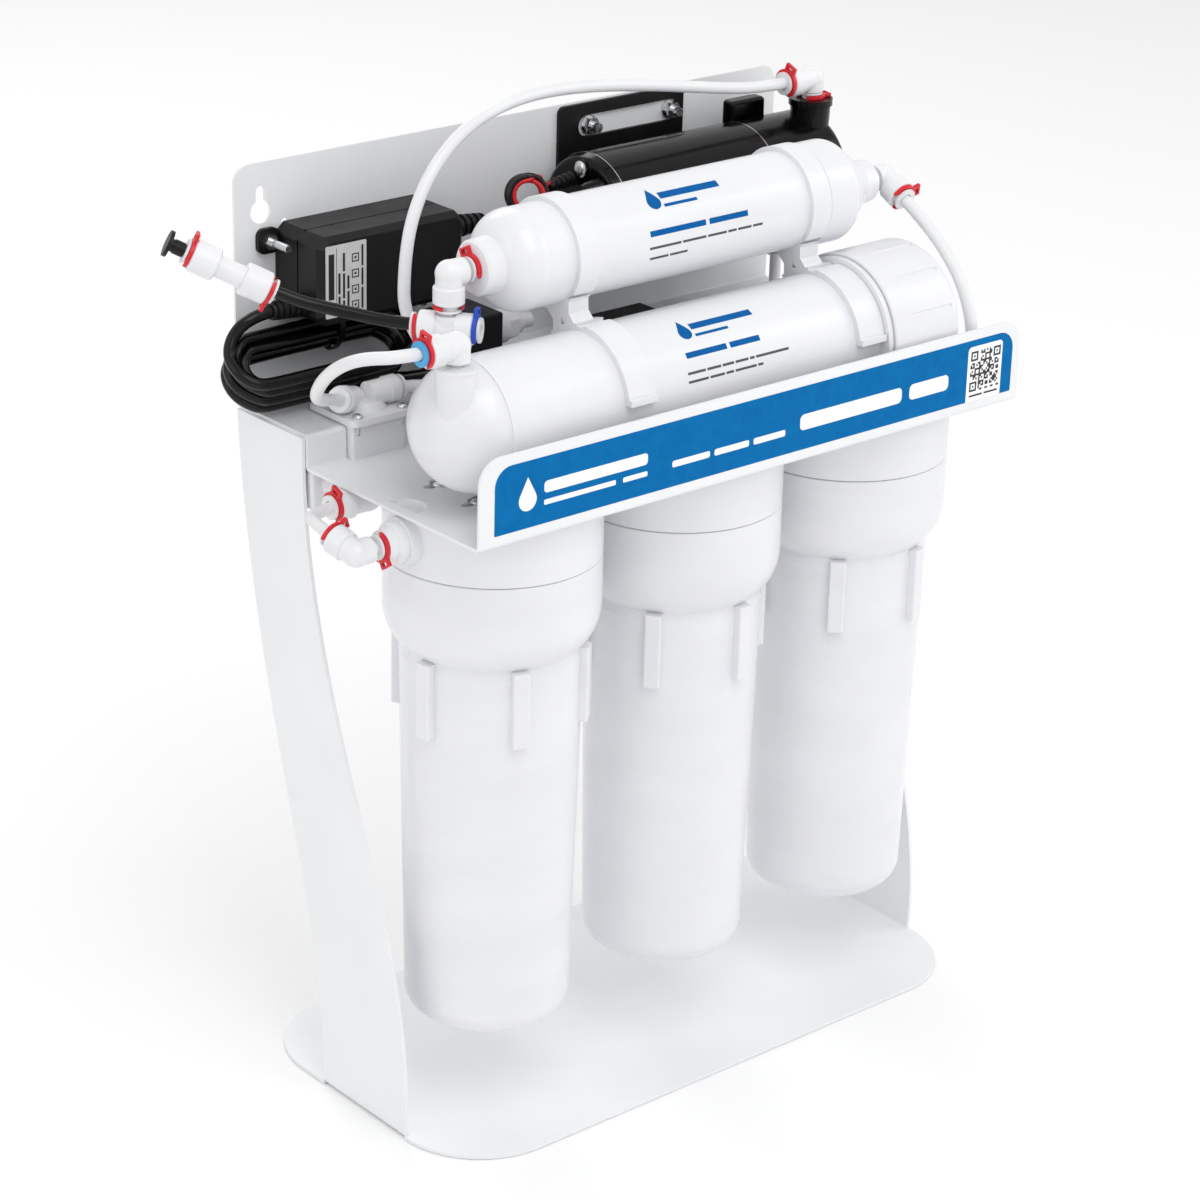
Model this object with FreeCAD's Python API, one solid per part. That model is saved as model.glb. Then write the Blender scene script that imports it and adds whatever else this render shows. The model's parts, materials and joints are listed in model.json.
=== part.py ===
# Reverse osmosis unit: three bowl filters, membrane housing, post-filter and booster pump on a steel stand.
# Frame: +X to the right seen from the front, +Y to the back, +Z up.
# Origin: centre of the base plate's underside. All lengths are in millimetres.
import FreeCAD
import Part
import math
import os

V = FreeCAD.Vector
X = V(1, 0, 0)
Y = V(0, 1, 0)
Z = V(0, 0, 1)

# ---- driving dimensions -------------------------------------------------------------------------
BASE_W, BASE_D, BASE_R, BASE_T = 367.0, 189.0, 49.5, 2.0      # base plate
LEG_FRONT, LEG_REAR, LEG_BEND = -45.0, 25.0, 4.0              # leg foot along Y and its outer bend
SHELF_W, SHEET_T = 362.6, 1.5                                 # shelf bracket and its sheet
FLANGE_Y, LOWER_Z, RISER_Y, UPPER_Z, BACK_Y = -97.5, 343.0, 39.6, 360.0, 99.5
FLANGE_TOP, FLANGE_R, BACK_TOP, BACK_R = 386.8, 13.0, 482.3, 9.0
KEYHOLE_X, KEYHOLE_Z, KEYHOLE_R, KEYSLOT_R, KEYSLOT_Z = 165.6, 457.0, 6.0, 2.7, 467.4

PITCH, FILTER_Y = 120.7, -32.7                                # row of bowl filters
SEAM_Z, HEAD_R, BOWL_BOTTOM = 309.7, 54.7, 54.7
PORT_Z = 326.5
BOWL_TOP_R, BOWL_LOW_R = 46.3, 42.8
SEAM_GAP = 0.3

MEM_Y, MEM_Z, MEM_R = -53.4, 386.1, 33.0                      # membrane housing
MEM_DOME_X, MEM_SEAM_X, MEM_END_X, MEM_CAP_R = -148.0, 92.8, 140.5, 40.3
POST_Y, POST_Z, POST_R = -22.6, 451.5, 25.4                   # post-filter
POST_DOME_X, POST_CAP_X, POST_END_X, POST_CAP_R = -103.0, 85.2, 106.0, 26.8
CLIP_LEFT_X, CLIP_RIGHT_X, CLIP_W = -76.7, 77.6, 12.6         # double clips between the two

PUMP_Y, PUMP_Z, PUMP_R = 62.0, 432.4, 33.0                    # booster pump
PUMP_LEFT_X, PUMP_SEAM_X, PUMP_END_X = 13.0, 124.0, 177.0

ADAPTER = (V(-157, 60.5, 404), V(-66, 95.5, 450))             # mains adapter case

TUBE_R, BORE_R = 3.175, 3.3                                   # quarter-inch tube in its fittings
BODY_R, COLLAR_R = 6.6, 7.8                                   # push-fit bodies
SOCKET = 12.0                                                 # depth that a tube goes into a socket
CABLE_R, DC_R = 3.2, 1.7                                      # mains cable and low-voltage cable


# ---- helpers ------------------------------------------------------------------------------------
def save(name, shape):
    """Write one sub-part."""
    shape.exportStep("parts/" + name + ".step")


def unit(v):
    return v * (1.0 / v.Length)


def rod(p, d, r, a, b):
    """Cylinder of radius r about the line p + s d, from s = a to s = b."""
    d = unit(d)
    return Part.makeCylinder(r, b - a, p + d * a, d)


def pipe(p, d, outer, inner, a, b):
    return rod(p, d, outer, a, b).cut(rod(p, d, inner, a - 1, b + 1))


def block(low, high):
    size = high - low
    return Part.makeBox(size.x, size.y, size.z, low)


def fuse(shapes):
    return shapes[0].multiFuse(shapes[1:]).removeSplitter()


def group(shapes):
    """Separate pieces that share one node."""
    return Part.makeCompound(shapes)


def turned(points, p, d):
    """Solid of revolution about the line p + s d. Points are (s, radius); a third value makes the
    stretch up to that point an arc through the (s, radius) pair it holds."""
    edges = []
    first = V(points[0][1], 0, points[0][0])
    last = first
    for point in points[1:]:
        here = V(point[1], 0, point[0])
        if len(point) > 2:
            middle = V(point[2][1], 0, point[2][0])
            edges.append(Part.Arc(last, middle, here).toShape())
        else:
            edges.append(Part.LineSegment(last, here).toShape())
        last = here
    edges.append(Part.LineSegment(last, first).toShape())
    solid = Part.Face(Part.Wire(edges)).revolve(V(0, 0, 0), Z, 360)
    turn = FreeCAD.Rotation(Z, unit(d))
    solid.Placement = FreeCAD.Placement(p, turn)
    return solid


def plate(outline, direction):
    return Part.Face(Part.Wire(outline)).extrude(direction)


def rounded_box(low, high, r):
    solid = block(low, high)
    return solid.makeFillet(r, solid.Edges)


def edges_along(shape, axis, test):
    """Straight edges parallel to an axis whose middle passes a test."""
    found = []
    for edge in shape.Edges:
        if len(edge.Vertexes) < 2 or edge.Curve.TypeId != "Part::GeomLine":
            continue
        a, b = edge.Vertexes[0].Point, edge.Vertexes[1].Point
        if abs(abs(unit(b - a).dot(axis)) - 1) < 1e-6 and test((a + b) * 0.5):
            found.append(edge)
    return found


def route(points, name):
    """Straight runs joined by tangent arcs. Each arc is as large as its two runs allow."""
    edges = []
    radii = []
    here = points[0]
    for i in range(1, len(points) - 1):
        before = points[i] - points[i - 1]
        after = points[i + 1] - points[i]
        a, b = unit(before), unit(after)
        half = 0.5 * math.acos(max(-1.0, min(1.0, a.dot(b))))
        set_back = 0.45 * min(before.Length, after.Length)
        radius = set_back / math.tan(half)
        radii.append(radius)
        start, end = points[i] - a * set_back, points[i] + b * set_back
        middle = points[i] + unit(b - a) * (radius / math.cos(half) - radius)
        edges.append(Part.LineSegment(here, start).toShape())
        edges.append(Part.Arc(start, middle, end).toShape())
        here = end
    edges.append(Part.LineSegment(here, points[-1]).toShape())
    wire = Part.Wire(edges)
    print(name, "length %.0f" % wire.Length, "radii", ["%.0f" % r for r in radii])
    return wire


def tube(points, r, name):
    """Solid tube along a route, with its volume checked."""
    wire = route(points, name)
    section = Part.Wire(Part.makeCircle(r, points[0], points[1] - points[0]))
    solid = wire.makePipeShell([section], True, False)
    wanted = math.pi * r * r * wire.Length
    print("   valid", solid.isValid(), "volume ratio %.4f" % (solid.Volume / wanted))
    return solid


# ---- push-fit fittings --------------------------------------------------------------------------
collets = []
locking_clips = []


def collet(mouth, d):
    """Release collet in a socket whose mouth is at a point and opens along d."""
    d = unit(d)
    sleeve = fuse([rod(mouth, d, 4.75, -5.0, 2.4), rod(mouth, d, 6.2, 2.3, 3.5)])
    collets.append(sleeve.cut(rod(mouth, d, BORE_R, -6, 5)))


def locking_clip(mouth, d, away):
    """U-shaped clip between a socket's face and its collet's flange. Its loop points along away."""
    d = unit(d)
    side = unit(away - d * away.dot(d))
    ring = rod(mouth, d, 7.7, 0.15, 1.95)
    gap = Part.makeBox(22, 9.7, 6, V(-22, -4.85, -2))
    loop = Part.makeBox(4.6, 7.0, 1.8, V(6.2, -3.5, 0.15))
    eye = Part.makeBox(1.8, 3.8, 6, V(7.9, -1.9, -2))
    frame = FreeCAD.Matrix()
    across = d.cross(side)
    frame.A11, frame.A21, frame.A31 = side.x, side.y, side.z
    frame.A12, frame.A22, frame.A32 = across.x, across.y, across.z
    frame.A13, frame.A23, frame.A33 = d.x, d.y, d.z
    frame.A14, frame.A24, frame.A34 = mouth.x, mouth.y, mouth.z
    gap.transformShape(frame, True)
    loop.transformShape(frame, True)
    eye.transformShape(frame, True)
    locking_clips.append(ring.fuse(loop).cut(rod(mouth, d, 4.85, -1, 4)).cut(gap).cut(eye).removeSplitter())


def socket_bore(mouth, d):
    """What a socket removes: tube bore, collet pocket and narrow waterway."""
    return fuse([rod(mouth, d, BORE_R, -SOCKET, 1), rod(mouth, d, 4.85, -6.0, 1),
                 rod(mouth, d, 2.2, -SOCKET - 4, 1)])


def arm(corner, mouth):
    """Body of one arm of a fitting, with the thicker collar at its mouth."""
    d = mouth - corner
    length = d.Length
    body = rod(corner, d, BODY_R, 0, length - 0.5)
    collar = rod(corner, d, COLLAR_R, length - 9.0, length)
    collar = collar.makeChamfer(0.7, [collar.Edges[i] for i in range(len(collar.Edges))
                                      if collar.Edges[i].Curve.TypeId == "Part::GeomCircle"])
    return body.fuse(collar)


def spigot(corner, d, length):
    """Plain stem that plugs into another piece's socket."""
    return rod(corner, d, TUBE_R, 0, length)


def fitting(corner, mouths, stems):
    """Fitting about a corner point: sockets at the mouths and plain stems (direction, neck, length)."""
    solids = [Part.makeSphere(BODY_R + 0.25, corner)]
    bores = []
    for mouth in mouths:
        solids.append(arm(corner, mouth))
        bores.append(socket_bore(mouth, mouth - corner))
        bores.append(rod(corner, mouth - corner, 2.2, 0, (mouth - corner).Length - SOCKET))
    for d, neck, length in stems:
        solids.append(rod(corner, d, BODY_R, 0, neck))
        solids.append(spigot(corner, d, length))
        bores.append(rod(corner, d, 2.0, 0, length + 1))
    body = fuse(solids)
    for bore in bores:
        body = body.cut(bore)
    return body


# ---- stand --------------------------------------------------------------------------------------
def leg_outline(x):
    """Curved side of a leg in the plane of constant x."""
    low = LEG_BEND
    rear = Part.BSplineCurve()
    rear.interpolate([V(x, LEG_REAR, low), V(x, 35.5, 90), V(x, 57, 165), V(x, 87, 290), V(x, 95, 358.5)])
    front = Part.BSplineCurve()
    front.interpolate([V(x, 39.5, 358.5), V(x, 35.5, 300), V(x, 8.5, 205), V(x, -26, 118),
                       V(x, LEG_FRONT, low)])
    top = Part.LineSegment(V(x, 95, 358.5), V(x, 39.5, 358.5))
    foot = Part.LineSegment(V(x, LEG_FRONT, low), V(x, LEG_REAR, low))
    return [rear.toShape(), top.toShape(), front.toShape(), foot.toShape()]


def make_base_frame():
    half_w, half_d = BASE_W / 2, BASE_D / 2
    base = block(V(-half_w, -half_d, 0), V(half_w, half_d, BASE_T))
    base = base.makeFillet(BASE_R, edges_along(base, Z, lambda m: True))
    pieces = []
    for side in (-1, 1):
        outer = side * half_w
        inner = side * (half_w - LEG_BEND)
        low_x, high_x = min(outer, inner) - 1, max(outer, inner) + 1
        if side < 0:
            high_x = inner
        else:
            low_x = inner
        base = base.cut(block(V(low_x, LEG_FRONT, -1), V(high_x, LEG_REAR, BASE_T + 1)))
        bend = pipe(V(inner, LEG_FRONT, LEG_BEND), Y, LEG_BEND, LEG_BEND - BASE_T, 0, LEG_REAR - LEG_FRONT)
        quarter = block(V(min(outer, inner), LEG_FRONT, 0), V(max(outer, inner), LEG_REAR, LEG_BEND))
        pieces.append(bend.common(quarter))
        pieces.append(plate(leg_outline(outer), V(-side * BASE_T, 0, 0)))
        tab_low, tab_high = sorted((side * (half_w - 20), side * (half_w - BASE_T)))
        tab = block(V(tab_low, 46, UPPER_Z - SHEET_T - 2), V(tab_high, 90, UPPER_Z - SHEET_T))
        pieces.append(tab)
    return fuse([base] + pieces)


HEAD_SCREWS = [(sx * 21.5, sy * 15.0) for sx in (-1, 1) for sy in (-1, 1)]
FILTER_X = (-PITCH, 0.0, PITCH)
D_HOLE = (V(-174.0, -31.5, 0), 10.5, -175.6)
VALVE_LOW, VALVE_HIGH = V(-157, 33.5, LOWER_Z), V(-124, 66.5, 361.2)
BRACKET_BOLT_X, BRACKET_BOLT_Z = (46.0, 103.0), 468.8
ADAPTER_STUDS = ((-162.4, 442.0), (-78.0, 398.5))
FEED_HOLE = V(152.5, 60.5, 0)


def slot_cut(x, y, z, length, r):
    """Slot along X centred on a point, cut through a level sheet."""
    half = length / 2 - r
    return fuse([rod(V(x - half, y, z), Z, r, -3, 3), rod(V(x + half, y, z), Z, r, -3, 3),
                 block(V(x - half, y - r, z - 3), V(x + half, y + r, z + 3))])


def make_shelf_bracket():
    half = SHELF_W / 2
    t = SHEET_T
    flange = block(V(-half, FLANGE_Y, LOWER_Z - t), V(half, FLANGE_Y + t, FLANGE_TOP))
    flange = flange.makeFillet(FLANGE_R, edges_along(flange, Y, lambda m: m.z > FLANGE_TOP - 1))
    back = block(V(-half, BACK_Y - t, UPPER_Z - t), V(half, BACK_Y, BACK_TOP))
    back = back.makeFillet(BACK_R, edges_along(back, Y, lambda m: m.z > BACK_TOP - 1))
    lower = block(V(-half, FLANGE_Y, LOWER_Z - t), V(half, RISER_Y, LOWER_Z))
    riser = block(V(-half, RISER_Y - t, LOWER_Z - t), V(half, RISER_Y, UPPER_Z))
    upper = block(V(-half, RISER_Y - t, UPPER_Z - t), V(half, BACK_Y, UPPER_Z))
    body = fuse([flange, back, lower, riser, upper])

    def outside(m):
        corners = ((FLANGE_Y, LOWER_Z - t), (RISER_Y, LOWER_Z - t), (RISER_Y - t, UPPER_Z),
                   (BACK_Y, UPPER_Z - t))
        return any(abs(m.y - y) < 0.01 and abs(m.z - z) < 0.01 for y, z in corners)

    def inside(m):
        corners = ((FLANGE_Y + t, LOWER_Z), (RISER_Y - t, LOWER_Z), (RISER_Y, UPPER_Z - t),
                   (BACK_Y - t, UPPER_Z))
        return any(abs(m.y - y) < 0.01 and abs(m.z - z) < 0.01 for y, z in corners)

    body = body.makeFillet(2.6, edges_along(body, X, outside))
    body = body.makeFillet(1.1, edges_along(body, X, inside))
    for side in (-1, 1):
        x = side * KEYHOLE_X
        body = body.cut(rod(V(x, BACK_Y, KEYHOLE_Z), Y, KEYHOLE_R, -5, 5))
        body = body.cut(rod(V(x, BACK_Y, KEYSLOT_Z), Y, KEYSLOT_R, -5, 5))
        body = body.cut(block(V(x - KEYSLOT_R, BACK_Y - 5, KEYHOLE_Z),
                              V(x + KEYSLOT_R, BACK_Y + 5, KEYSLOT_Z)))
        body = body.cut(rod(V(side * 151.0, BACK_Y, 449.3), Y, 2.0, -5, 5))
    for filter_x in FILTER_X:
        for dx, dy in HEAD_SCREWS:
            body = body.cut(slot_cut(filter_x + dx - 3.5, FILTER_Y + dy, LOWER_Z, 12.2, 2.6))
    centre, r, side_x = D_HOLE
    d_hole = rod(V(centre.x, centre.y, LOWER_Z), Z, r, -5, 5)
    body = body.cut(d_hole.common(block(V(side_x, -80, LOWER_Z - 5), V(-100, 20, LOWER_Z + 5))))
    body = body.cut(block(V(VALVE_LOW.x - 0.5, RISER_Y - 5, LOWER_Z),
                          V(VALVE_HIGH.x + 0.5, 67, UPPER_Z + 1)))
    for x in BRACKET_BOLT_X:
        body = body.cut(rod(V(x, BACK_Y, BRACKET_BOLT_Z), Y, 2.5, -5, 5))
    for x, z in ADAPTER_STUDS:
        body = body.cut(rod(V(x, BACK_Y, z), Y, 2.0, -5, 5))
    body = body.cut(rod(V(FEED_HOLE.x, FEED_HOLE.y, UPPER_Z), Z, 6.5, -5, 5))
    return body


def pan_screw(p, length, r):
    """Pan-head screw with washer, driven down into its hole at p, the sheet's upper face."""
    washer = pipe(p, Z, 5.2, r, 0, 0.8)
    dome = turned([(0.8, 0), (0.8, 4.2), (1.5, 4.2), (2.6, 0, (2.33, 2.3))], p, Z)
    cross = block(p + V(-2.3, -0.5, 1.7), p + V(2.3, 0.5, 4))
    other = block(p + V(-0.5, -2.3, 1.7), p + V(0.5, 2.3, 4))
    shank = rod(p, Z, r, -length, 1.2)
    return fuse([washer, dome, shank]).cut(cross).cut(other)


def make_frame_screws():
    screws = []
    for filter_x in FILTER_X:
        for dx, dy in HEAD_SCREWS:
            screws.append(pan_screw(V(filter_x + dx, FILTER_Y + dy, LOWER_Z), 8.0, 2.1))
    return group(screws)


# ---- bowl filters -------------------------------------------------------------------------------
NECK_R, NECK_TOP = 47.0, 320.0
CARTRIDGE_R, CARTRIDGE_LOW, CARTRIDGE_TOP = 31.5, 60.5, 308.0
ORING_Z, ORING_R = 315.5, 1.7
BOWL_ANGLES = (-111.0, -143.0, -135.0)
LUG_LOW, LUG_TOP, LUG_W, LUG_REACH = 221.5, 262.0, 8.6, 50.4


def make_head(i):
    x = FILTER_X[i]
    p = V(x, FILTER_Y, 0)
    top = LOWER_Z - SHEET_T
    low = SEAM_Z + SEAM_GAP
    outer = turned([(low, 0), (low, HEAD_R), (top - 3.0, HEAD_R),
                    (top, HEAD_R - 3.0, (top - 0.9, HEAD_R - 0.9)), (top, 0)], p, Z)
    inside = turned([(low - 1, 0), (low - 1, NECK_R + 0.35), (331.5, NECK_R + 0.35), (331.5, 0)], p, Z)
    groove = pipe(p, Z, ORING_R + ORING_R + NECK_R + 0.5, NECK_R - 1, ORING_Z - ORING_R, ORING_Z + ORING_R)
    boss = turned([(312.0, 6.5), (312.0, 11.0), (331.6, 13.0), (331.6, 6.5)], p, Z)
    body = outer
    bores = []
    pad_in = turned([(HEAD_R - 6, 0), (HEAD_R - 6, 13.0), (HEAD_R + 4.5, 12.4), (HEAD_R + 4.5, 0)],
                    V(x, FILTER_Y, PORT_Z), -X)
    if i == 0:
        body = body.fuse(pad_in)
        bores.append(rod(V(x, FILTER_Y, PORT_Z), -X, 6.0, 30, HEAD_R + 6))
    else:
        bores.append(rod(V(x, FILTER_Y, PORT_Z), -X, 6.5, 30, HEAD_R + 6))
    if i == 2:
        pad_out = turned([(HEAD_R - 6, 0), (HEAD_R - 6, 11.0), (HEAD_R + 9, 10.4), (HEAD_R + 9, 0)],
                         V(x, FILTER_Y, PORT_Z), Y)
        body = body.fuse(pad_out)
        mouth = V(x, FILTER_Y + HEAD_R + 9, PORT_Z)
        bores.append(socket_bore(mouth, Y))
        bores.append(rod(mouth, Y, 2.2, -40, -10))
    else:
        bores.append(rod(V(x, FILTER_Y, PORT_Z), X, 6.5, 30, HEAD_R + 6))
    body = body.cut(inside).cut(groove).fuse(boss)
    for bore in bores:
        body = body.cut(bore)
    for dx, dy in HEAD_SCREWS:
        body = body.cut(rod(V(x + dx, FILTER_Y + dy, top), Z, 2.1, -6.5, 1))
    return body.removeSplitter()


def make_bowl(i):
    p = V(FILTER_X[i], FILTER_Y, 0)
    seam = SEAM_Z - SEAM_GAP
    bulge = 28.0
    start = seam - 26.5
    turn = math.radians(48.0)
    bulge_z = start - bulge * math.sin(turn)
    bulge_r = HEAD_R - bulge * (1 - math.cos(turn))
    half = turn / 2
    middle = (start - bulge * math.sin(half), HEAD_R - bulge * (1 - math.cos(half)))
    profile = [
        (NECK_TOP, NECK_R - 3.6), (NECK_TOP, NECK_R - 0.8), (NECK_TOP - 0.8, NECK_R), (seam, NECK_R),
        (seam, HEAD_R - 0.5), (seam - 0.5, HEAD_R), (start, HEAD_R),
        (bulge_z, bulge_r, middle),
        (bulge_z - 5.0, BOWL_TOP_R, (bulge_z - 2.1, BOWL_TOP_R + 0.45 * (bulge_r - BOWL_TOP_R) - 0.35)),
        (BOWL_BOTTOM + 14, BOWL_LOW_R),
        (BOWL_BOTTOM, BOWL_LOW_R - 12, (BOWL_BOTTOM + 4.1, BOWL_LOW_R - 3.5)),
        (BOWL_BOTTOM, 26), (BOWL_BOTTOM + 1.5, 24.5), (BOWL_BOTTOM + 1.5, 0), (BOWL_BOTTOM + 5.2, 0),
        (BOWL_BOTTOM + 5.2, BOWL_LOW_R - 9.5), (BOWL_BOTTOM + 14, BOWL_LOW_R - 3.8),
        (bulge_z, BOWL_TOP_R - 3.6), (seam - 14, NECK_R - 3.6)]
    body = turned(profile, p, Z)
    lugs = []
    for k in range(6):
        lug = block(V(BOWL_TOP_R - 3.0, -LUG_W / 2, LUG_LOW), V(LUG_REACH, LUG_W / 2, LUG_TOP))
        lug = lug.makeFillet(1.2, edges_along(lug, Y, lambda m: m.x > LUG_REACH - 1 and m.z < LUG_LOW + 1))
        lug = lug.makeFillet(1.0, edges_along(lug, Z, lambda m: m.x > LUG_REACH - 1))
        lug.Placement = FreeCAD.Placement(p, FreeCAD.Rotation(Z, BOWL_ANGLES[i] + 60 * k))
        lugs.append(lug)
    return fuse([body] + lugs)


def make_cartridge(i):
    p = V(FILTER_X[i], FILTER_Y, 0)
    core = turned([(CARTRIDGE_LOW + 3, 14), (CARTRIDGE_LOW + 3, CARTRIDGE_R - 1.2),
                   (CARTRIDGE_TOP - 3, CARTRIDGE_R - 1.2), (CARTRIDGE_TOP - 3, 14)], p, Z)
    caps = [pipe(p, Z, CARTRIDGE_R, 11.6, CARTRIDGE_LOW, CARTRIDGE_LOW + 3.0),
            pipe(p, Z, CARTRIDGE_R, 11.6, CARTRIDGE_TOP - 3.0, CARTRIDGE_TOP)]
    return fuse([core] + caps)


def make_orings():
    rings = []
    for x in FILTER_X:
        rings.append(Part.makeTorus(NECK_R + 0.5 + ORING_R, ORING_R, V(x, FILTER_Y, ORING_Z), Z))
    return group(rings)


def make_nipples():
    pieces = []
    for x in (-PITCH / 2, PITCH / 2):
        reach = PITCH / 2 - HEAD_R + 6.0
        flange = PITCH / 2 - HEAD_R - 0.0
        body = pipe(V(x, FILTER_Y, PORT_Z), X, 6.5, 4.3, -reach, reach)
        pieces.append(body.fuse(pipe(V(x, FILTER_Y, PORT_Z), X, 9.0, 4.3, -flange + 0.2, flange - 0.2)))
    return group(pieces)


# ---- inlet under the shelf ----------------------------------------------------------------------
INLET_MOUTH = V(-PITCH - HEAD_R - 14.0, FILTER_Y, PORT_Z)
INLET_CORNER = V(-204.5, FILTER_Y, PORT_Z)
INLET_OUT = INLET_CORNER + V(-3.0, 13.5, 4.5)
FEED_MOUTH = V(-186.0, 9.0, 333.2)
FEED_CORNER = V(-166.5, 9.0, 333.2)
SOLENOID_Y = 36.0


def make_inlet_elbow():
    """Screwed adapter in the first head's port, with the elbow that plugs into it."""
    p = V(-PITCH, FILTER_Y, PORT_Z)
    adapter = turned([(44, 2.2), (44, 6.0), (HEAD_R + 4.5, 6.0), (HEAD_R + 4.5, 10.6), (HEAD_R + 8.5, 10.6),
                      (HEAD_R + 9.5, 8.4), (HEAD_R + 14.0, 8.0), (HEAD_R + 14.0, 2.2)], p, -X)
    adapter = adapter.cut(socket_bore(INLET_MOUTH, -X))
    elbow = fitting(INLET_CORNER, [INLET_OUT], [(X, 8.0, INLET_MOUTH.x - INLET_CORNER.x + 11.5)])
    return adapter, elbow


def make_solenoid():
    """Inlet solenoid valve under the upper shelf: body with its two ports and the coil on top."""
    p = V(-166.5, SOLENOID_Y, 333.2)
    body = rounded_box(p + V(-13.5, 0, -13), p + V(8, 30, 8), 2.0)
    neck = rod(p, Y, 8.2, -9.0, 2.0)
    inlet = V(-151.5 + 12, p.y + 15, 333.2)
    outlet_arm = rod(V(inlet.x - 21, inlet.y, inlet.z), X, 8.2, 0, 21)
    solid = fuse([body, neck, outlet_arm])
    solid = solid.cut(socket_bore(V(p.x, p.y - 9, p.z), -Y)).cut(socket_bore(inlet, X))
    solid = solid.cut(rod(V(p.x, p.y, p.z), Y, 2.2, 0, 15)).cut(rod(V(p.x, inlet.y, p.z), X, 2.2, 0, 20))
    tube_top = UPPER_Z - SHEET_T - 2.0
    stem = rod(p + V(1, 15, 0), Z, 4.0, 8.0, tube_top - p.z - 3)
    coil = rounded_box(p + V(-12, 5, 7.0), p + V(8, 28, 21.0), 1.5)
    return fuse([solid, stem, coil]), inlet


# ---- membrane housing ---------------------------------------------------------------------------
CUP = V(-168.5, MEM_Y - 9.7, 421.9)
MEM_FEED = V(-118.0, -7.0, MEM_Z)
MEM_ELBOW = V(CUP.x, CUP.y, CUP.z + 10.0)
MEM_OUT = MEM_ELBOW - X * 18.5


def make_membrane():
    axis = V(0, MEM_Y, MEM_Z)
    dome = MEM_DOME_X
    shape = turned([(dome - MEM_R, 0), (dome, MEM_R, (dome - MEM_R * 0.72, MEM_R * 0.72)), (88.4, MEM_R),
                    (89.2, MEM_CAP_R - 1.6), (MEM_SEAM_X - 0.6, MEM_CAP_R - 1.6),
                    (MEM_SEAM_X - 0.6, MEM_R - 1.0),
                    (MEM_SEAM_X + 18, MEM_R - 1.0), (MEM_SEAM_X + 18, 0)], axis, X)
    rib = turned([(dome - 4.5, MEM_R - 3), (dome - 4.5, MEM_R + 0.7), (dome - 1.5, MEM_R + 0.7),
                  (dome - 1.5, MEM_R - 3)], axis, X)
    cup = turned([(-30, 0), (-30, 8.4), (-3, 10.2), (-1, 10.8), (0, 10.8), (0, 0)], CUP, Z)
    drain = turned([(18, 0), (18, 9.0), (MEM_FEED.y - MEM_Y, 8.4), (MEM_FEED.y - MEM_Y, 0)],
                   V(MEM_FEED.x, MEM_Y, MEM_Z), Y)
    body = fuse([shape, rib, cup, drain])
    bore = turned([(dome - MEM_R + 5, 0), (dome, MEM_R - 3.6, (dome - MEM_R * 0.62, MEM_R * 0.62)),
                   (MEM_SEAM_X + 19, MEM_R - 3.6), (MEM_SEAM_X + 19, 0)], axis, X)
    body = body.cut(bore)
    body = body.cut(rod(CUP, Z, 5.0, -12.4, 1)).cut(rod(CUP, Z, 2.2, -30, 1))
    body = body.cut(socket_bore(MEM_FEED, Y))
    return body


def make_membrane_cap():
    axis = V(0, MEM_Y, MEM_Z)
    x0, x1, r = MEM_SEAM_X, MEM_END_X, MEM_CAP_R
    body = turned([(x0, MEM_R - 0.65), (x0, r - 0.6), (x0 + 0.6, r), (x1 - 5, r),
                   (x1, r - 5, (x1 - 1.46, r - 1.46)),
                   (x1, 16), (x1 - 2.0, 14), (x1 - 2.0, 0), (x1 - 7, 0), (x1 - 7, r - 12),
                   (x0 + 20.4, r - 14), (x0 + 20.4, MEM_R - 0.65)], axis, X)
    cuts = []
    for k in range(12):
        angle = math.radians(30 * k + 8)
        d = V(0, math.cos(angle), math.sin(angle))
        cuts.append(rod(axis + d * (r + 0.35), X, 1.0, x0 + 13, x1 - 6))
    for cut in cuts:
        body = body.cut(cut)
    return body


def make_membrane_seal():
    """Sealing ring carried in the cap, pressed on the housing's end."""
    return pipe(V(0, MEM_Y, MEM_Z), X, MEM_R - 1.2, MEM_R - 6.5, MEM_SEAM_X + 18.0, MEM_SEAM_X + 20.4)


def make_membrane_element():
    axis = V(0, MEM_Y, MEM_Z)
    roll = turned([(-146, 0), (-146, 23.5), (MEM_SEAM_X + 8, 23.5), (MEM_SEAM_X + 8, 0)], axis, X)
    seal = turned([(86, 23), (86, 28.6), (90, 28.6), (93, 23)], axis, X)
    stub = rod(axis, X, 8.5, -158, 116)
    return fuse([roll, seal, stub]).cut(rod(axis, X, 5.5, -170, 130))


# ---- post-filter and its double clips -----------------------------------------------------------
POST_LEFT_MOUTH = V(-127.5, POST_Y, POST_Z)
POST_RIGHT_MOUTH = V(136.0, POST_Y, POST_Z)
OUTLET_CORNER = V(-141.5, POST_Y, POST_Z)
OUTLET_DOWN = V(-141.5, POST_Y, 436.5)
TEE = V(-141.5, POST_Y, 424.5)
TEE_D = V(-0.62, 0.785, 0)
TEE_LEFT = TEE + TEE_D * 14.5
TEE_RIGHT = TEE - TEE_D * 12.6
POST_ELBOW = V(148.0, POST_Y, POST_Z)
POST_ELBOW_D = unit(V(0, -0.90, -0.44))
POST_ELBOW_MOUTH = POST_ELBOW + POST_ELBOW_D * 16.0


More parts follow.
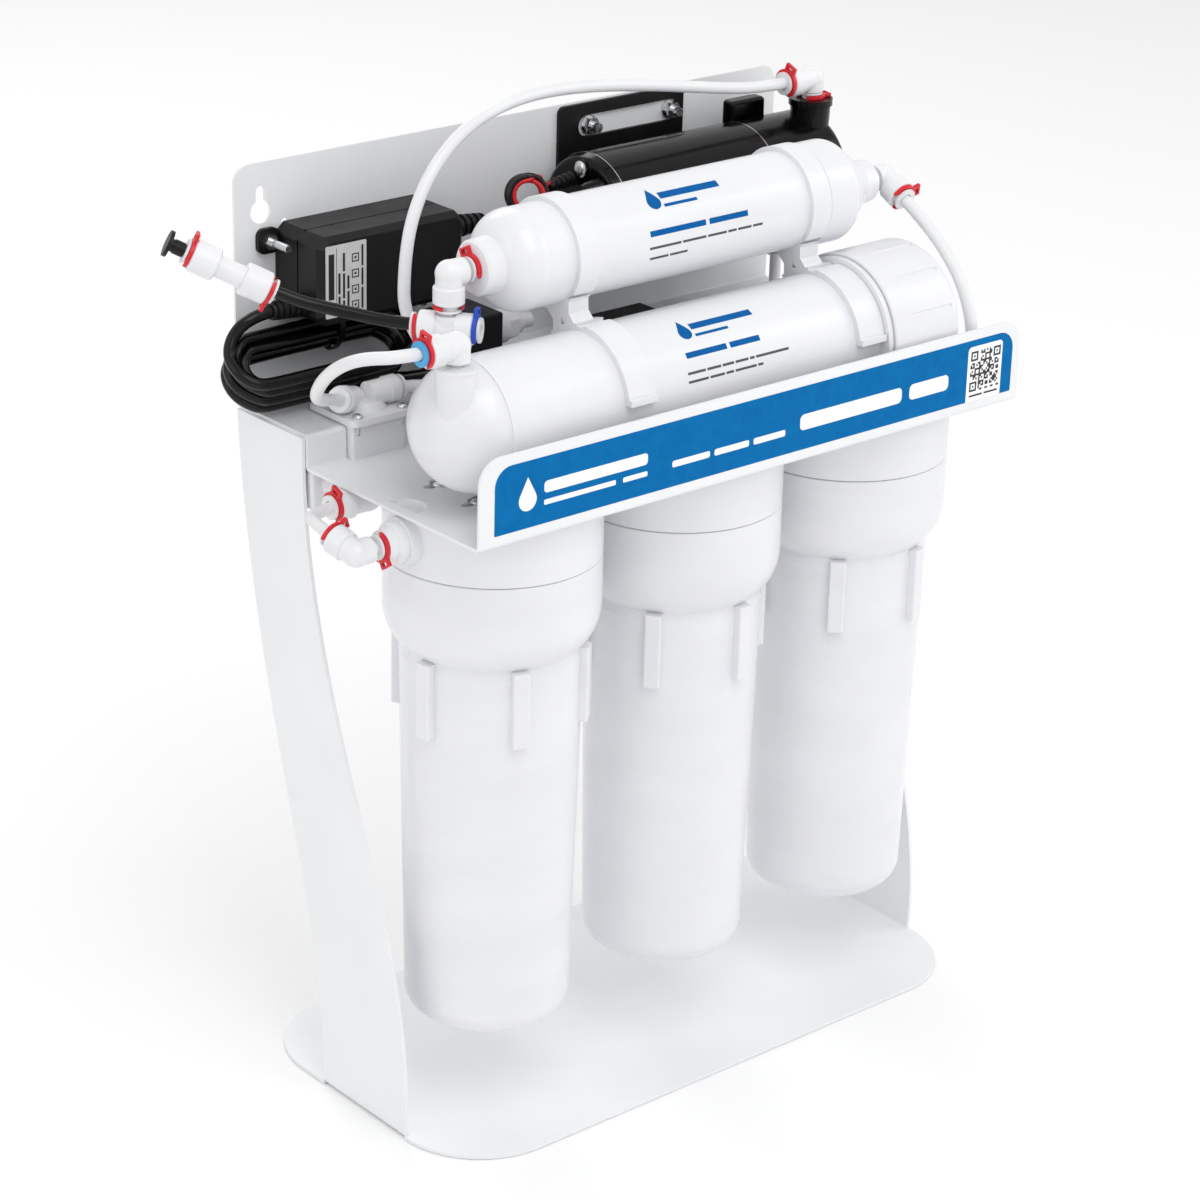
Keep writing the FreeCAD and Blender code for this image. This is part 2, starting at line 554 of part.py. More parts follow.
def make_postfilter():
    axis = V(0, POST_Y, POST_Z)
    d0, r = POST_DOME_X, POST_R
    left = POST_LEFT_MOUTH.x
    body = turned([(left, 0), (left, 12.6), (left + 1.2, 13.8), (left + 10, 14.6),
                   (d0 + 3, r, (d0 - 10, r * 0.84)), (POST_CAP_X - 0.4, r), (POST_CAP_X - 0.4, 0)], axis, X)
    inside = turned([(d0 - 4, 0), (d0 + 8, r - 2.6, (d0 - 1, r * 0.70)), (POST_CAP_X + 1, r - 2.6),
                     (POST_CAP_X + 1, 0)], axis, X)
    body = body.cut(inside).cut(socket_bore(POST_LEFT_MOUTH, -X))
    return body.cut(rod(axis, X, 2.2, left + 10, d0 + 10))


def make_postfilter_cap():
    axis = V(0, POST_Y, POST_Z)
    x0, x1, r = POST_CAP_X, POST_END_X, POST_CAP_R
    right = POST_RIGHT_MOUTH.x
    body = turned([(x0, 0), (x0, r - 0.4), (x0 + 0.4, r), (x1 - 3, r), (x1 + 3, r - 5.5, (x1 + 0.9, r - 1.5)),
                   (x1 + 14, 14.5, (x1 + 9, r - 7.6)), (right - 10, 12.0), (right - 1.4, 11.0), (right, 9.6),
                   (right, 0)], axis, X)
    inside = turned([(x0 - 1, 0), (x0 - 1, r - 4), (x1 - 1, r - 4), (x1 + 6, 8), (x1 + 6, 0)], axis, X)
    return body.cut(inside).cut(socket_bore(POST_RIGHT_MOUTH, X)).cut(rod(axis, X, 2.2, x1, right - 10))


def make_clip(x):
    """Double clip: a ring on the post-filter, a snap saddle on the membrane housing, and the web."""
    post = V(x, POST_Y, POST_Z)
    membrane = V(x, MEM_Y, MEM_Z)
    wide = CLIP_W + 4.4
    left = x - CLIP_W / 2
    housing_r = MEM_R
    up = unit(V(0, POST_Y - MEM_Y, POST_Z - MEM_Z))
    across = V(0, up.z, -up.y)
    ring = pipe(post, X, POST_R + 2.5, POST_R, -CLIP_W / 2, CLIP_W / 2)
    saddle = pipe(membrane, X, housing_r + 3.2, housing_r, -CLIP_W / 2, wide - CLIP_W / 2)
    centre = (post + membrane) * 0.5

    def prism(points, width):
        corners = [V(-width / 2, 0, 0) + p for p in points]
        outline = Part.makePolygon(corners + [corners[0]])
        return Part.Face(outline).extrude(V(width, 0, 0))

    def at(s, u):
        """Point s along the line from membrane to post-filter and u across it."""
        return V(x, 0, 0) + V(0, membrane.y, membrane.z) + up * s + across * u

    gap_low, gap_high = housing_r + 2.0, (post - membrane).Length - POST_R - 1.6
    waist = (gap_low + gap_high) / 2
    web = prism([at(gap_low - 8, -22), at(gap_low - 1, -9), at(waist, -6.5), at(gap_high + 1, -9),
                 at(gap_high + 9, -19), at(gap_high + 9, 19), at(gap_high + 1, 9), at(waist, 6.5),
                 at(gap_low - 1, 9), at(gap_low - 8, 22)], CLIP_W)
    web = web.cut(rod(post, X, POST_R + 1, -20, 20)).cut(rod(membrane, X, housing_r + 1, -20, 20))
    window = prism([at(gap_low + 1.6, -1.4), at(gap_low + 1.6, 1.4), at(waist - 0.5, 0)], 40)
    eyes = []
    for s in (-1, 1):
        eyes.append(prism([at(gap_high + 2.2, s * 8.5), at(gap_high + 1.0, s * 13.0),
                           at(gap_high + 6.0, s * 15.2)], 40))
        eyes.append(prism([at(gap_low - 1.4, s * 9.8), at(gap_low + 1.0, s * 12.2),
                           at(gap_low - 4.6, s * 17.2)], 40))
    opening = prism([at(-9, -60), at(-60, -60), at(-60, 60), at(-9, 60)], 60)
    saddle = saddle.cut(opening)
    hooks = []
    for s in (-1, 1):
        tip = at(-9, s * (housing_r + 1.0))
        hook = Part.makeBox(wide, 5.2, 3.2, V(left, tip.y - 2.6, tip.z - 1.6))
        hook = hook.cut(rod(membrane, X, housing_r + 0.0, -30, 30))
        hooks.append(hook)
    body = fuse([ring, saddle, web] + hooks)
    for eye in eyes + [window]:
        body = body.cut(eye)
    solids = sorted(body.Solids, key=lambda s: -s.Volume)
    return solids[0]


# ---- shut-off valve -----------------------------------------------------------------------------
PERMEATE_MOUTH, PERMEATE_D = V(-157.0, 43.0, 372.5), unit(V(-0.82, -0.50, 0.28))
POST_FEED_MOUTH = V(-122.5, 45.0, 371.2)


def make_shutoff():
    low, high = VALVE_LOW, VALVE_HIGH
    body = block(low, high)
    body = body.makeFillet(1.5, edges_along(body, Z, lambda m: True))
    body = body.cut(rod(V(-140.5, 50, 0), Z, 9.0, 352, 362))
    cover = block(V(low.x - 2, low.y - 3.5, high.z), V(high.x + 2, high.y + 3.0, high.z + 3.2))
    cover = cover.makeFillet(4.0, edges_along(cover, Z, lambda m: True))
    top = high.z + 3.2
    ridge = turned([(0, 0), (0, 11.5), (4.5, 8.0), (5.0, 0)], V(-140.5, 46.0, top), Z)
    ports = []
    for mouth, d in ((PERMEATE_MOUTH, PERMEATE_D), (POST_FEED_MOUTH, X)):
        ports.append(rod(mouth, d, 6.4, -17.0, 0.0))
        ports.append(rod(mouth, d, 7.0, -6.0, 0.0))
    cover = fuse([cover, ridge] + ports).cut(block(V(-200, 20, top - 20), V(-100, 80, high.z)))
    cover = cover.cut(socket_bore(PERMEATE_MOUTH, PERMEATE_D)).cut(socket_bore(POST_FEED_MOUTH, X))
    cover = cover.cut(rod(V(-145.0, 50.3, 0), Z, 1.5, 355, 368.0))
    cover = cover.cut(rod(V(-136.5, 45.5, 0), Z, 1.5, 355, POST_FEED_MOUTH.z))
    screws = []
    for x in (-153.2, -125.6):
        for y in (34.6, 62.4):
            p = V(x, y, top)
            cover = cover.cut(rod(p, Z, 1.4, -8, 1))
            body = body.cut(rod(p, Z, 1.4, -9.0, 1))
            head = turned([(0, 0), (0, 2.9), (1.0, 2.9), (2.2, 0, (1.95, 1.7))], p, Z)
            cross = block(p + V(-1.7, -0.35, 1.3), p + V(1.7, 0.35, 3)).fuse(
                block(p + V(-0.35, -1.7, 1.3), p + V(0.35, 1.7, 3)))
            screws.append(head.fuse(rod(p, Z, 1.4, -8.5, 0.5)).cut(cross))
    return body, cover, group(screws)


# ---- booster pump -------------------------------------------------------------------------------
PUMP_CUP = V(167.0, 54.0, 475.0)
PUMP_CORNER = V(PUMP_CUP.x, PUMP_CUP.y, 485.5)
PUMP_OUT = V(149.0, PUMP_CUP.y, 485.5)
PUMP_IN = V(152.0, 60.0, 392.0)
SHAFT_R = 4.0


def make_pump():
    axis = V(0, PUMP_Y, PUMP_Z)
    x0, x1, x2, r = PUMP_LEFT_X, PUMP_SEAM_X, PUMP_END_X, PUMP_R
    motor = turned([(x0 + 6.2, r - 1.5), (x0 + 6.2, r), (x1 - 0.3, r), (x1 - 0.3, r - 1.5)], axis, X)
    end = turned([(x0, SHAFT_R + 0.05), (x0, r - 4.5), (x0 + 2.6, r - 1.0, (x0 + 0.75, r - 2.1)),
                  (x0 + 5.8, r), (x0 + 5.8, r - 1.5), (x0 + 12, r - 1.5), (x0 + 12, SHAFT_R + 0.05)], axis, X)
    pocket = turned([(x0 + 5, SHAFT_R - 1), (x0 + 5, r - 6), (x0 + 13, r - 6),
                     (x0 + 13, SHAFT_R - 1)], axis, X)
    bearing_seat = turned([(x0 + 4.9, SHAFT_R + 0.05), (x0 + 4.9, 9), (x0 + 11, 8),
                           (x0 + 11, SHAFT_R + 0.05)], axis, X)
    lid = pipe(axis, X, 9.0, 0.5, x0 - 1.6, x0 + 0.5)
    end = end.cut(pocket).fuse(bearing_seat).fuse(lid).fuse(rod(axis, X, 8.5, x0 - 1.6, x0 + 0.6))
    screw_angles = (math.radians(88), math.radians(268))
    for a in screw_angles:
        p = axis + V(x0 - 0.1, math.cos(a) * (r - 7.5), math.sin(a) * (r - 7.5))
        end = end.fuse(rod(p, X, 5.0, -0.5, 4.0)).cut(rod(p, X, 1.9, -1, 8))
    grommet = turned([(0, 1.0), (0, 6.5), (3.5, 5.4), (4.0, 5.9), (7.0, 4.9), (7.5, 5.4), (11.0, 4.2),
                      (11.0, 1.0)], axis + V(x0, -12.0, 17.0), -X)
    end = end.fuse(grommet)
    head = turned([(x1, r - 4), (x1, r), (x2 - 7, r), (x2, r - 7, (x2 - 2.05, r - 2.05)), (x2, 0),
                   (x2 - 9, 0), (x2 - 9, 14), (x1 + 18, 14), (x1 + 18, SHAFT_R + 3),
                   (x1 + 14, SHAFT_R + 3), (x1 + 14, r - 4)], axis, X)
    cup = turned([(-26, 0), (-26, 10.0), (-4.0, 11.0), (-3.6, 12.0), (0, 12.0), (0, 0)], PUMP_CUP, Z)
    inlet = turned([(-20, 0), (-20, 9.0), (0, 9.0), (0, 0)], PUMP_IN, -Z)
    lug = rounded_box(V(x1 + 3, PUMP_Y + 10, 455), V(x1 + 27, PUMP_Y + 20, 474), 2.5)
    head = fuse([head, cup, inlet, lug])
    head = head.cut(turned([(x1 - 1, 0), (x1 - 1, r - 4), (x1 + 14, r - 4), (x1 + 14, 0)], axis, X))
    head = head.cut(turned([(x1 + 10, 0), (x1 + 10, SHAFT_R + 3), (x1 + 18, SHAFT_R + 3),
                            (x1 + 18, 0)], axis, X))
    head = head.cut(turned([(x1 + 17.5, 0), (x1 + 17.5, 14), (x2 - 9, 14), (x2 - 9, 0)], axis, X))
    head = head.cut(socket_bore(PUMP_CUP, Z)).cut(socket_bore(PUMP_IN, -Z))
    for z in (463.5, 469.0):
        head = head.cut(rod(V(x1 + 10 if z < 465 else x1 + 19, PUMP_Y, z + 1), Y, 1.8, 5, 25))
    rotor = fuse([rod(axis, X, SHAFT_R, x0 + 1.2, x1 + 15.0),
                  turned([(x0 + 24, 0), (x0 + 24, 21.5), (x1 - 26, 21.5), (x1 - 26, 0)], axis, X),
                  turned([(x0 + 13, 0), (x0 + 13, 11), (x0 + 22, 11), (x0 + 22, 0)], axis, X)])
    return motor, end, head, rotor


def make_pump_bracket():
    front, back = BACK_Y - SHEET_T - 2.0, BACK_Y - SHEET_T
    low_x, high_x = 24.5, 112.0
    sheet = block(V(low_x, front, 425), V(high_x, back, 481.2))
    sheet = sheet.makeFillet(4.0, edges_along(sheet, Y, lambda m: m.z > 480))
    x0, x1 = BRACKET_BOLT_X[0] - 2.2, BRACKET_BOLT_X[1]
    r = 5.8
    slot = fuse([rod(V(x0, back, BRACKET_BOLT_Z), Y, r, -5, 5), rod(V(x1, back, BRACKET_BOLT_Z), Y, r, -5, 5),
                 block(V(x0, front - 2, BRACKET_BOLT_Z - r), V(x1, back + 2, BRACKET_BOLT_Z + r))])
    sheet = sheet.cut(slot)
    axis = V(0, PUMP_Y, PUMP_Z)
    strap = pipe(axis, X, PUMP_R + 2.3, PUMP_R, low_x + 8, high_x - 8)
    keep = block(V(low_x, PUMP_Y - 40, PUMP_Z - 60), V(high_x, PUMP_Y + 60, PUMP_Z - 6))
    keep = keep.cut(block(V(low_x - 1, PUMP_Y - 60, PUMP_Z - 70), V(high_x + 1, PUMP_Y - 12, PUMP_Z + 1)))
    strap = strap.common(keep)
    return fuse([sheet, strap]).cut(rod(axis, X, PUMP_R, 0, 200))


def hex_prism(p, d, across, a, b):
    """Hexagonal prism about the line p + s d."""
    r = across / math.sqrt(3)
    corners = [V(r * math.cos(math.radians(60 * k)), r * math.sin(math.radians(60 * k)), 0) for k in range(7)]
    solid = Part.Face(Part.makePolygon(corners)).extrude(V(0, 0, b - a))
    solid.Placement = FreeCAD.Placement(p + unit(d) * a, FreeCAD.Rotation(Z, unit(d)))
    return solid


def make_wall_bolts():
    """Bolts through the back plate with their nuts: two for the pump bracket, two for the adapter."""
    bolts = []
    for x in BRACKET_BOLT_X:
        p = V(x, BACK_Y, BRACKET_BOLT_Z)
        front = BACK_Y - SHEET_T
        nut = hex_prism(V(x, front, BRACKET_BOLT_Z), -Y, 8.0, 0.9, 5.0)
        washer = rod(V(x, front, BRACKET_BOLT_Z), -Y, 5.3, 0.0, 1.0)
        bolts.append(fuse([rod(p, -Y, 2.5, 0, 11.0), nut, washer, rod(p, Y, 4.5, 0, 2.6)]))
    for x, z in ADAPTER_STUDS:
        p = V(x, BACK_Y, z)
        ear = BACK_Y - SHEET_T - EAR_T
        nut = hex_prism(V(x, ear, z), -Y, 7.0, 0.0, 3.2)
        bolts.append(fuse([rod(p, -Y, 2.0, 0, 21.0), nut, rod(p, Y, 3.6, 0, 2.2)]))
    return group(bolts)


# ---- mains adapter ------------------------------------------------------------------------------
EAR_T = 2.6
DC_EXIT = V(-66.0, 77.0, 436.0)
DC_BOOT_R = 6.8
MAINS_EXIT = V(-157.0, 76.0, 413.0)


def make_adapter():
    low, high = ADAPTER
    split = 79.0
    back_high = V(high.x, BACK_Y - SHEET_T, high.z)
    case = block(V(low.x, split, low.z), back_high)
    case = case.makeChamfer(5.0, edges_along(case, Y, lambda m: True))
    for x, z in ADAPTER_STUDS:
        ear_low = V(x - 6.5, BACK_Y - SHEET_T - EAR_T, z - 6.5)
        ear = block(ear_low, V(x + 6.5, BACK_Y - SHEET_T, z + 6.5))
        ear = ear.makeFillet(4.0, edges_along(ear, Y, lambda m: True))
        case = case.fuse(ear)
    for x, z in ADAPTER_STUDS:
        case = case.cut(rod(V(x, BACK_Y, z), Y, 2.0, -40, 5))
    case = case.cut(block(V(low.x + 2.5, split - 1, low.z + 2.5),
                          V(high.x - 2.5, BACK_Y - SHEET_T - 2.5, high.z - 2.5)))
    cover = block(low, V(high.x, split, high.z))
    cover = cover.makeChamfer(5.0, edges_along(cover, Y, lambda m: True))
    front = [e for e in cover.Edges if abs(e.CenterOfMass.y - low.y) < 0.01]
    cover = cover.makeChamfer(3.0, front)
    cover = cover.cut(block(V(low.x + 2.5, low.y + 2.5, low.z + 6), V(high.x - 2.5, split + 1, high.z - 6)))
    groove = block(V(low.x - 1, split - 0.5, low.z - 1), V(high.x + 1, split + 0.5, high.z + 1))
    groove = groove.cut(block(V(low.x + 0.8, split - 1, low.z + 0.8),
                              V(high.x - 0.8, split + 1, high.z - 0.8)))
    body = fuse([case, cover]).cut(groove)
    for exit_point, d, r in ((DC_EXIT, X, DC_BOOT_R), (MAINS_EXIT, -X, 6.0)):
        body = body.cut(rod(exit_point, d, r, -6, 6))
    return body


def make_relief(p, d, r0, r1, length, inner):
    """Tapered strain relief with ring grooves, plugged 2.4 mm into a case wall."""
    points = [(-2.4, inner), (-2.4, r0), (1.5, r0)]
    rings = 5
    for k in range(rings):
        s = 1.5 + (length - 2.5) * k / rings
        e = 1.5 + (length - 2.5) * (k + 0.55) / rings
        n = 1.5 + (length - 2.5) * (k + 1) / rings
        points += [(s + 0.01, r0 + (r1 - r0) * s / length), (e, r0 + (r1 - r0) * e / length),
                   (e + 0.01, r0 - 0.9 + (r1 - r0) * e / length), (n, r0 - 0.9 + (r1 - r0) * n / length)]
    points += [(length - 0.99, r1), (length, r1 - 0.3), (length, inner)]
    return turned(points, p, d)


# ---- cords and tubes ----------------------------------------------------------------------------
MAINS_START = MAINS_EXIT + V(-19.0, 0, 0)
HANK_LEFT, HANK_RIGHT = -184.0, -112.0
HANK_LOW, HANK_HIGH, HANK_R = V(0, 66.0, 377.0), V(0, 82.0, 388.5), 8.5


def make_hank():
    """Outer shape of the bound hank of mains cable: a stadium-shaped ring."""
    centre = (HANK_LOW + HANK_HIGH) * 0.5
    half = (HANK_HIGH - HANK_LOW) * 0.5
    normal = unit(half.cross(X))
    pieces = []
    for side in (HANK_LOW, HANK_HIGH):
        pieces.append(rod(V(HANK_LEFT, side.y, side.z), X, HANK_R, 0, HANK_RIGHT - HANK_LEFT))
    for x in (HANK_LEFT, HANK_RIGHT):
        ring = Part.makeTorus(half.Length, HANK_R, V(x, centre.y, centre.z), normal)
        if x == HANK_LEFT:
            keep = block(V(x - 60, 0, 300), V(x, 140, 450))
        else:
            keep = block(V(x, 0, 300), V(x + 60, 140, 450))
        pieces.append(ring.common(keep))
    return fuse(pieces)


PUMP_TUBE = [V(161.0, 54, 485.5), V(131.5, 54, 485.5), V(102, 53, 489.5), V(50, 51, 499.5), V(-2, 49, 507),
             V(-45, 44, 509), V(-82, 38.5, 502), V(-108, 33.5, 485.5), V(-124, 29.5, 464),
             V(-131.5, 25.5, 441), V(-132.5, 24.5, 415), V(-118, 10, MEM_Z), V(-118, -19, MEM_Z)]
PERMEATE_TUBE = [MEM_ELBOW - X * 6.5, MEM_ELBOW - X * 30, V(-214.5, -46, 430), V(-211, -18, 413.5),
                 V(-200.5, 6.5, 392.5), PERMEATE_MOUTH + PERMEATE_D * 16, PERMEATE_MOUTH - PERMEATE_D * SOCKET]
POST_TUBE = [POST_ELBOW_MOUTH - POST_ELBOW_D * SOCKET, POST_ELBOW_MOUTH + POST_ELBOW_D * 16,
             V(150, -77, 416), V(151, -89.5, 393), V(151.5, -92, 369), V(151.5, -80, 352),
             V(152, -56, 347.4), V(152.5, -28, 347.8), V(146, -3, 349), V(124, 11, 350), V(96, 14, 349),
             V(40, 17, 350), V(-18, 13, 349), V(-60, 14, 350.5), V(-82, 28, 362), V(-106, 45, 371.2),
             V(-134.5, 45, 371.2)]
INLET_D = unit(INLET_OUT - INLET_CORNER)
INLET_TUBE = [INLET_OUT - INLET_D * SOCKET, INLET_OUT + INLET_D * 12, V(-202, 9.0, 333.2),
              V(-174.0, 9.0, 333.2)]
UNION_D = unit(V(-0.747, 0.495, 0.443))
UNION_MOUTH, UNION_LENGTH = V(-202.3, 40, 439), 40.4
OUTLET_TUBE = [TEE_LEFT - TEE_D * SOCKET, TEE_LEFT + TEE_D * 11, V(-174, 15, 428.5),
               UNION_MOUTH - UNION_D * 13, UNION_MOUTH + UNION_D * SOCKET]
FEED_TUBE = [PUMP_IN + V(0, 0, SOCKET), V(152, 60, 380), V(152.6, 60.6, 357), V(150, 60.6, 338.5),
             V(139, 56.5, 328), V(128.5, 50.5, PORT_Z), V(PITCH, 35.5, PORT_Z),
             V(PITCH, FILTER_Y + HEAD_R + 9 - SOCKET, PORT_Z)]
MAINS_IN = [MAINS_START, V(-188, 76.3, 412.0), V(-197, 78.5, 404.0), V(-196, 81.0, 396.0),
            V(-188.0, 82.0, 389.5)]
MAINS_OUT = [V(-104, 65, 375.6), V(-87, 53.5, 369.5), V(-62, 47.0, 364.6), V(-36, 46.0, 363.6),
             V(-12, 49.0, 363.6), V(10, 54.0, 366.8)]
COIL_CENTRE, COIL_NORMAL, COIL_R = V(-39.0, 44.0, 457.0), unit(V(-0.45, -0.85, 0.25)), 8.5
COIL_DOWN = unit(COIL_NORMAL * COIL_NORMAL.z - Z)
DC_CABLE = [DC_EXIT + V(24, 0, 0), V(-30, 76.5, 436.4), V(-23, 69, 438.0), V(-27, 57, 441.0),
            COIL_CENTRE + COIL_DOWN * COIL_R]


def make_outlet_union():
    """Straight union: two thick ends and a thin waist, a socket in each end."""
    length = UNION_LENGTH
    body = fuse([rod(UNION_MOUTH, UNION_D, 8.2, 0, 13.3), rod(UNION_MOUTH, UNION_D, 5.6, 10, length - 10),
                 rod(UNION_MOUTH, UNION_D, 8.2, length - 13.3, length)])
    ends = [e for e in body.Edges if e.Curve.TypeId == "Part::GeomCircle" and e.Curve.Radius > 8]
    body = body.makeChamfer(0.8, ends)
    far = UNION_MOUTH + UNION_D * length
    return body.cut(socket_bore(UNION_MOUTH, UNION_D * -1)).cut(socket_bore(far, UNION_D)), far


def make_stopper(mouth, d):
    pin = rod(mouth, d, TUBE_R, -SOCKET, 11.5)
    grip = rod(mouth, d, 6.6, 11.0, 12.8)
    return fuse([pin, grip, rod(mouth, d, 3.6, 4.0, 9.0)])


def make_plug():
    """Flat two-pin mains plug lying on the shelf."""
    low, high = V(24, 42.0, 360.0), V(62, 74.0, 374.0)
    y = (low.y + high.y) / 2
    z = (low.z + high.z) / 2
    body = block(low, high)
    body = body.makeFillet(5.0, edges_along(body, X, lambda m: True))
    neck = turned([(-16, 0), (-16, 4.2), (2, 6.2), (2, 0)], V(24, 54.0, z), X)
    pins = [fuse([rod(V(62, y + s * 9.5, z), X, 2.0, -1, 17), Part.makeSphere(2.0, V(79, y + s * 9.5, z))])
            for s in (-1, 1)]
    body = fuse([body, neck] + pins)
    return body


def make_pressure_switch():
    body = rounded_box(V(-82, 48, UPPER_Z + 4), V(-50, 78, 396), 1.5)
    foot = block(V(-86, 55, UPPER_Z), V(-28, 72, UPPER_Z + 5))
    nose = rod(V(-50.2, 60, 384), X, 9.0, 0, 8)
    hexagon = hex_prism(V(-42.5, 60, 384), X, 15.0, 0, 7)
    barb = turned([(0, 0), (0, 6.2), (4, 6.2), (4, 4.2), (12, 4.2), (12, 0)], V(-35.6, 60, 384), X)
    return fuse([body, foot, nose, hexagon, barb])


def make_pump_leads(cable):
    """Outer shape of the small coil of the pump's two leads, with the pair that runs to the pump."""
    ring = turned([(-3.6, COIL_R - 3), (-4.6, COIL_R), (-3.6, COIL_R + 3), (3.6, COIL_R + 3), (4.6, COIL_R),
                   (3.6, COIL_R - 3)], COIL_CENTRE, COIL_NORMAL)
    across = unit(X - COIL_NORMAL * COIL_NORMAL.x)
    start = COIL_CENTRE + across * COIL_R
    end = V(PUMP_LEFT_X - 11, PUMP_Y - 12, PUMP_Z + 17)
    pair = tube([start, (start + end) * 0.5 + V(0, -1, 2.5), end + V(-7, 0, 0.6), end], 1.6, "lead pair")
    return fuse([ring, pair]).cut(cable)


# ---- write every sub-part -----------------------------------------------------------------------
os.makedirs("parts", exist_ok=True)

save("base_frame", make_base_frame())
save("shelf_bracket", make_shelf_bracket())
save("frame_screws", make_frame_screws())
for number in range(3):
    label = str(number + 1)
    save("filter_head_" + label, make_head(number))
    save("filter_bowl_" + label, make_bowl(number))
    save("filter_cartridge_" + label, make_cartridge(number))
save("bowl_orings", make_orings())
save("head_nipples", make_nipples())

inlet_adapter, inlet_elbow = make_inlet_elbow()
collet(INLET_MOUTH, -X)
locking_clip(INLET_MOUTH, -X, V(0, -0.7, -1))
collet(INLET_OUT, INLET_OUT - INLET_CORNER)
locking_clip(INLET_OUT, INLET_OUT - INLET_CORNER, V(1, 0, 0.6))
save("inlet_adapter", inlet_adapter)
save("inlet_elbow", inlet_elbow)
save("inlet_tube", tube(INLET_TUBE, TUBE_R, "inlet_tube"))
inlet_valve, feed_inlet = make_solenoid()
save("inlet_valve", inlet_valve)
collet(feed_inlet, X)
collet(V(-166.5, SOLENOID_Y - 9.0, 333.2), -Y)
save("feed_elbow", fitting(FEED_CORNER, [FEED_MOUTH], [(Y, 9.0, SOLENOID_Y - 9.0 - FEED_CORNER.y + 11.5)]))
collet(FEED_MOUTH, -X)
locking_clip(FEED_MOUTH, -X, V(0, -0.35, 1))

save("membrane_housing", make_membrane())
save("membrane_cap", make_membrane_cap())
save("membrane_seal", make_membrane_seal())
save("membrane_element", make_membrane_element())
membrane_elbow = fitting(MEM_ELBOW, [MEM_OUT], [(-Z, 7.5, 10.0)])
membrane_elbow = membrane_elbow.fuse(pipe(CUP, Z, 5.0, 2.0, -12, 0.5)).removeSplitter()
save("membrane_elbow", membrane_elbow)
collet(MEM_OUT, -X)
locking_clip(MEM_OUT, -X, V(0, -0.2, 1))
collet(MEM_FEED, Y)
locking_clip(MEM_FEED, Y, V(0, 0, 1))
save("permeate_tube", tube(PERMEATE_TUBE, TUBE_R, "permeate_tube"))
shutoff_body, shutoff_cover, shutoff_screws = make_shutoff()
save("shutoff_body", shutoff_body)
save("shutoff_cover", shutoff_cover)
save("shutoff_screws", shutoff_screws)
collet(PERMEATE_MOUTH, PERMEATE_D)
collet(POST_FEED_MOUTH, X)

save("postfilter_housing", make_postfilter())
save("postfilter_cap", make_postfilter_cap())
save("clip_left", make_clip(CLIP_LEFT_X))
save("clip_right", make_clip(CLIP_RIGHT_X))
collet(POST_LEFT_MOUTH, -X)
locking_clip(POST_LEFT_MOUTH, -X, V(0, 0.5, 1))
save("outlet_elbow", fitting(OUTLET_CORNER, [OUTLET_DOWN], [(X, 8.2, 25.5)]))
collet(OUTLET_DOWN, -Z)
locking_clip(OUTLET_DOWN, -Z, V(0.4, 1, 0))
save("outlet_tee", fitting(TEE, [TEE_LEFT, TEE_RIGHT], [(Z, 6.8, 23.5)]))
collet(TEE_LEFT, TEE_D)
locking_clip(TEE_LEFT, TEE_D, V(0, -0.3, -1))
collet(TEE_RIGHT, TEE_D * -1)
locking_clip(TEE_RIGHT, TEE_D * -1, V(0, 0.2, 1))
save("outlet_tube", tube(OUTLET_TUBE, TUBE_R, "outlet_tube"))
outlet_union, union_far = make_outlet_union()
save("outlet_union", outlet_union)
collet(UNION_MOUTH, UNION_D * -1)
locking_clip(UNION_MOUTH, UNION_D * -1, V(0, 0, -1))
collet(union_far, UNION_D)
locking_clip(union_far, UNION_D, V(0, 0, 1))
save("outlet_stopper", make_stopper(union_far, UNION_D))

collet(POST_RIGHT_MOUTH, X)
post_elbow = fitting(POST_ELBOW, [POST_ELBOW_MOUTH], [(-X, 6.5, 23.5)])
save("postfilter_elbow", post_elbow)
collet(POST_ELBOW_MOUTH, POST_ELBOW_D)
locking_clip(POST_ELBOW_MOUTH, POST_ELBOW_D, V(1, 0, 0.4))
save("postfilter_tube", tube(POST_TUBE, TUBE_R, "postfilter_tube"))

pump_motor, pump_end_cap, pump_head, pump_rotor = make_pump()
save("pump_motor", pump_motor)
save("pump_end_cap", pump_end_cap)
save("pump_head", pump_head)
save("pump_rotor", pump_rotor)
save("pump_bracket", make_pump_bracket())
save("wall_bolts", make_wall_bolts())
collet(PUMP_CUP, Z)
locking_clip(PUMP_CUP, Z, V(1, -0.2, 0))
save("pump_elbow", fitting(PUMP_CORNER, [PUMP_OUT], [(-Z, 6.6, 22.0)]))
collet(PUMP_OUT, -X)
locking_clip(PUMP_OUT, -X, V(0, -0.4, 1))
collet(PUMP_IN, -Z)
save("pump_tube", tube(PUMP_TUBE, TUBE_R, "pump_tube"))
save("pump_feed_tube", tube(FEED_TUBE, TUBE_R, "pump_feed_tube"))

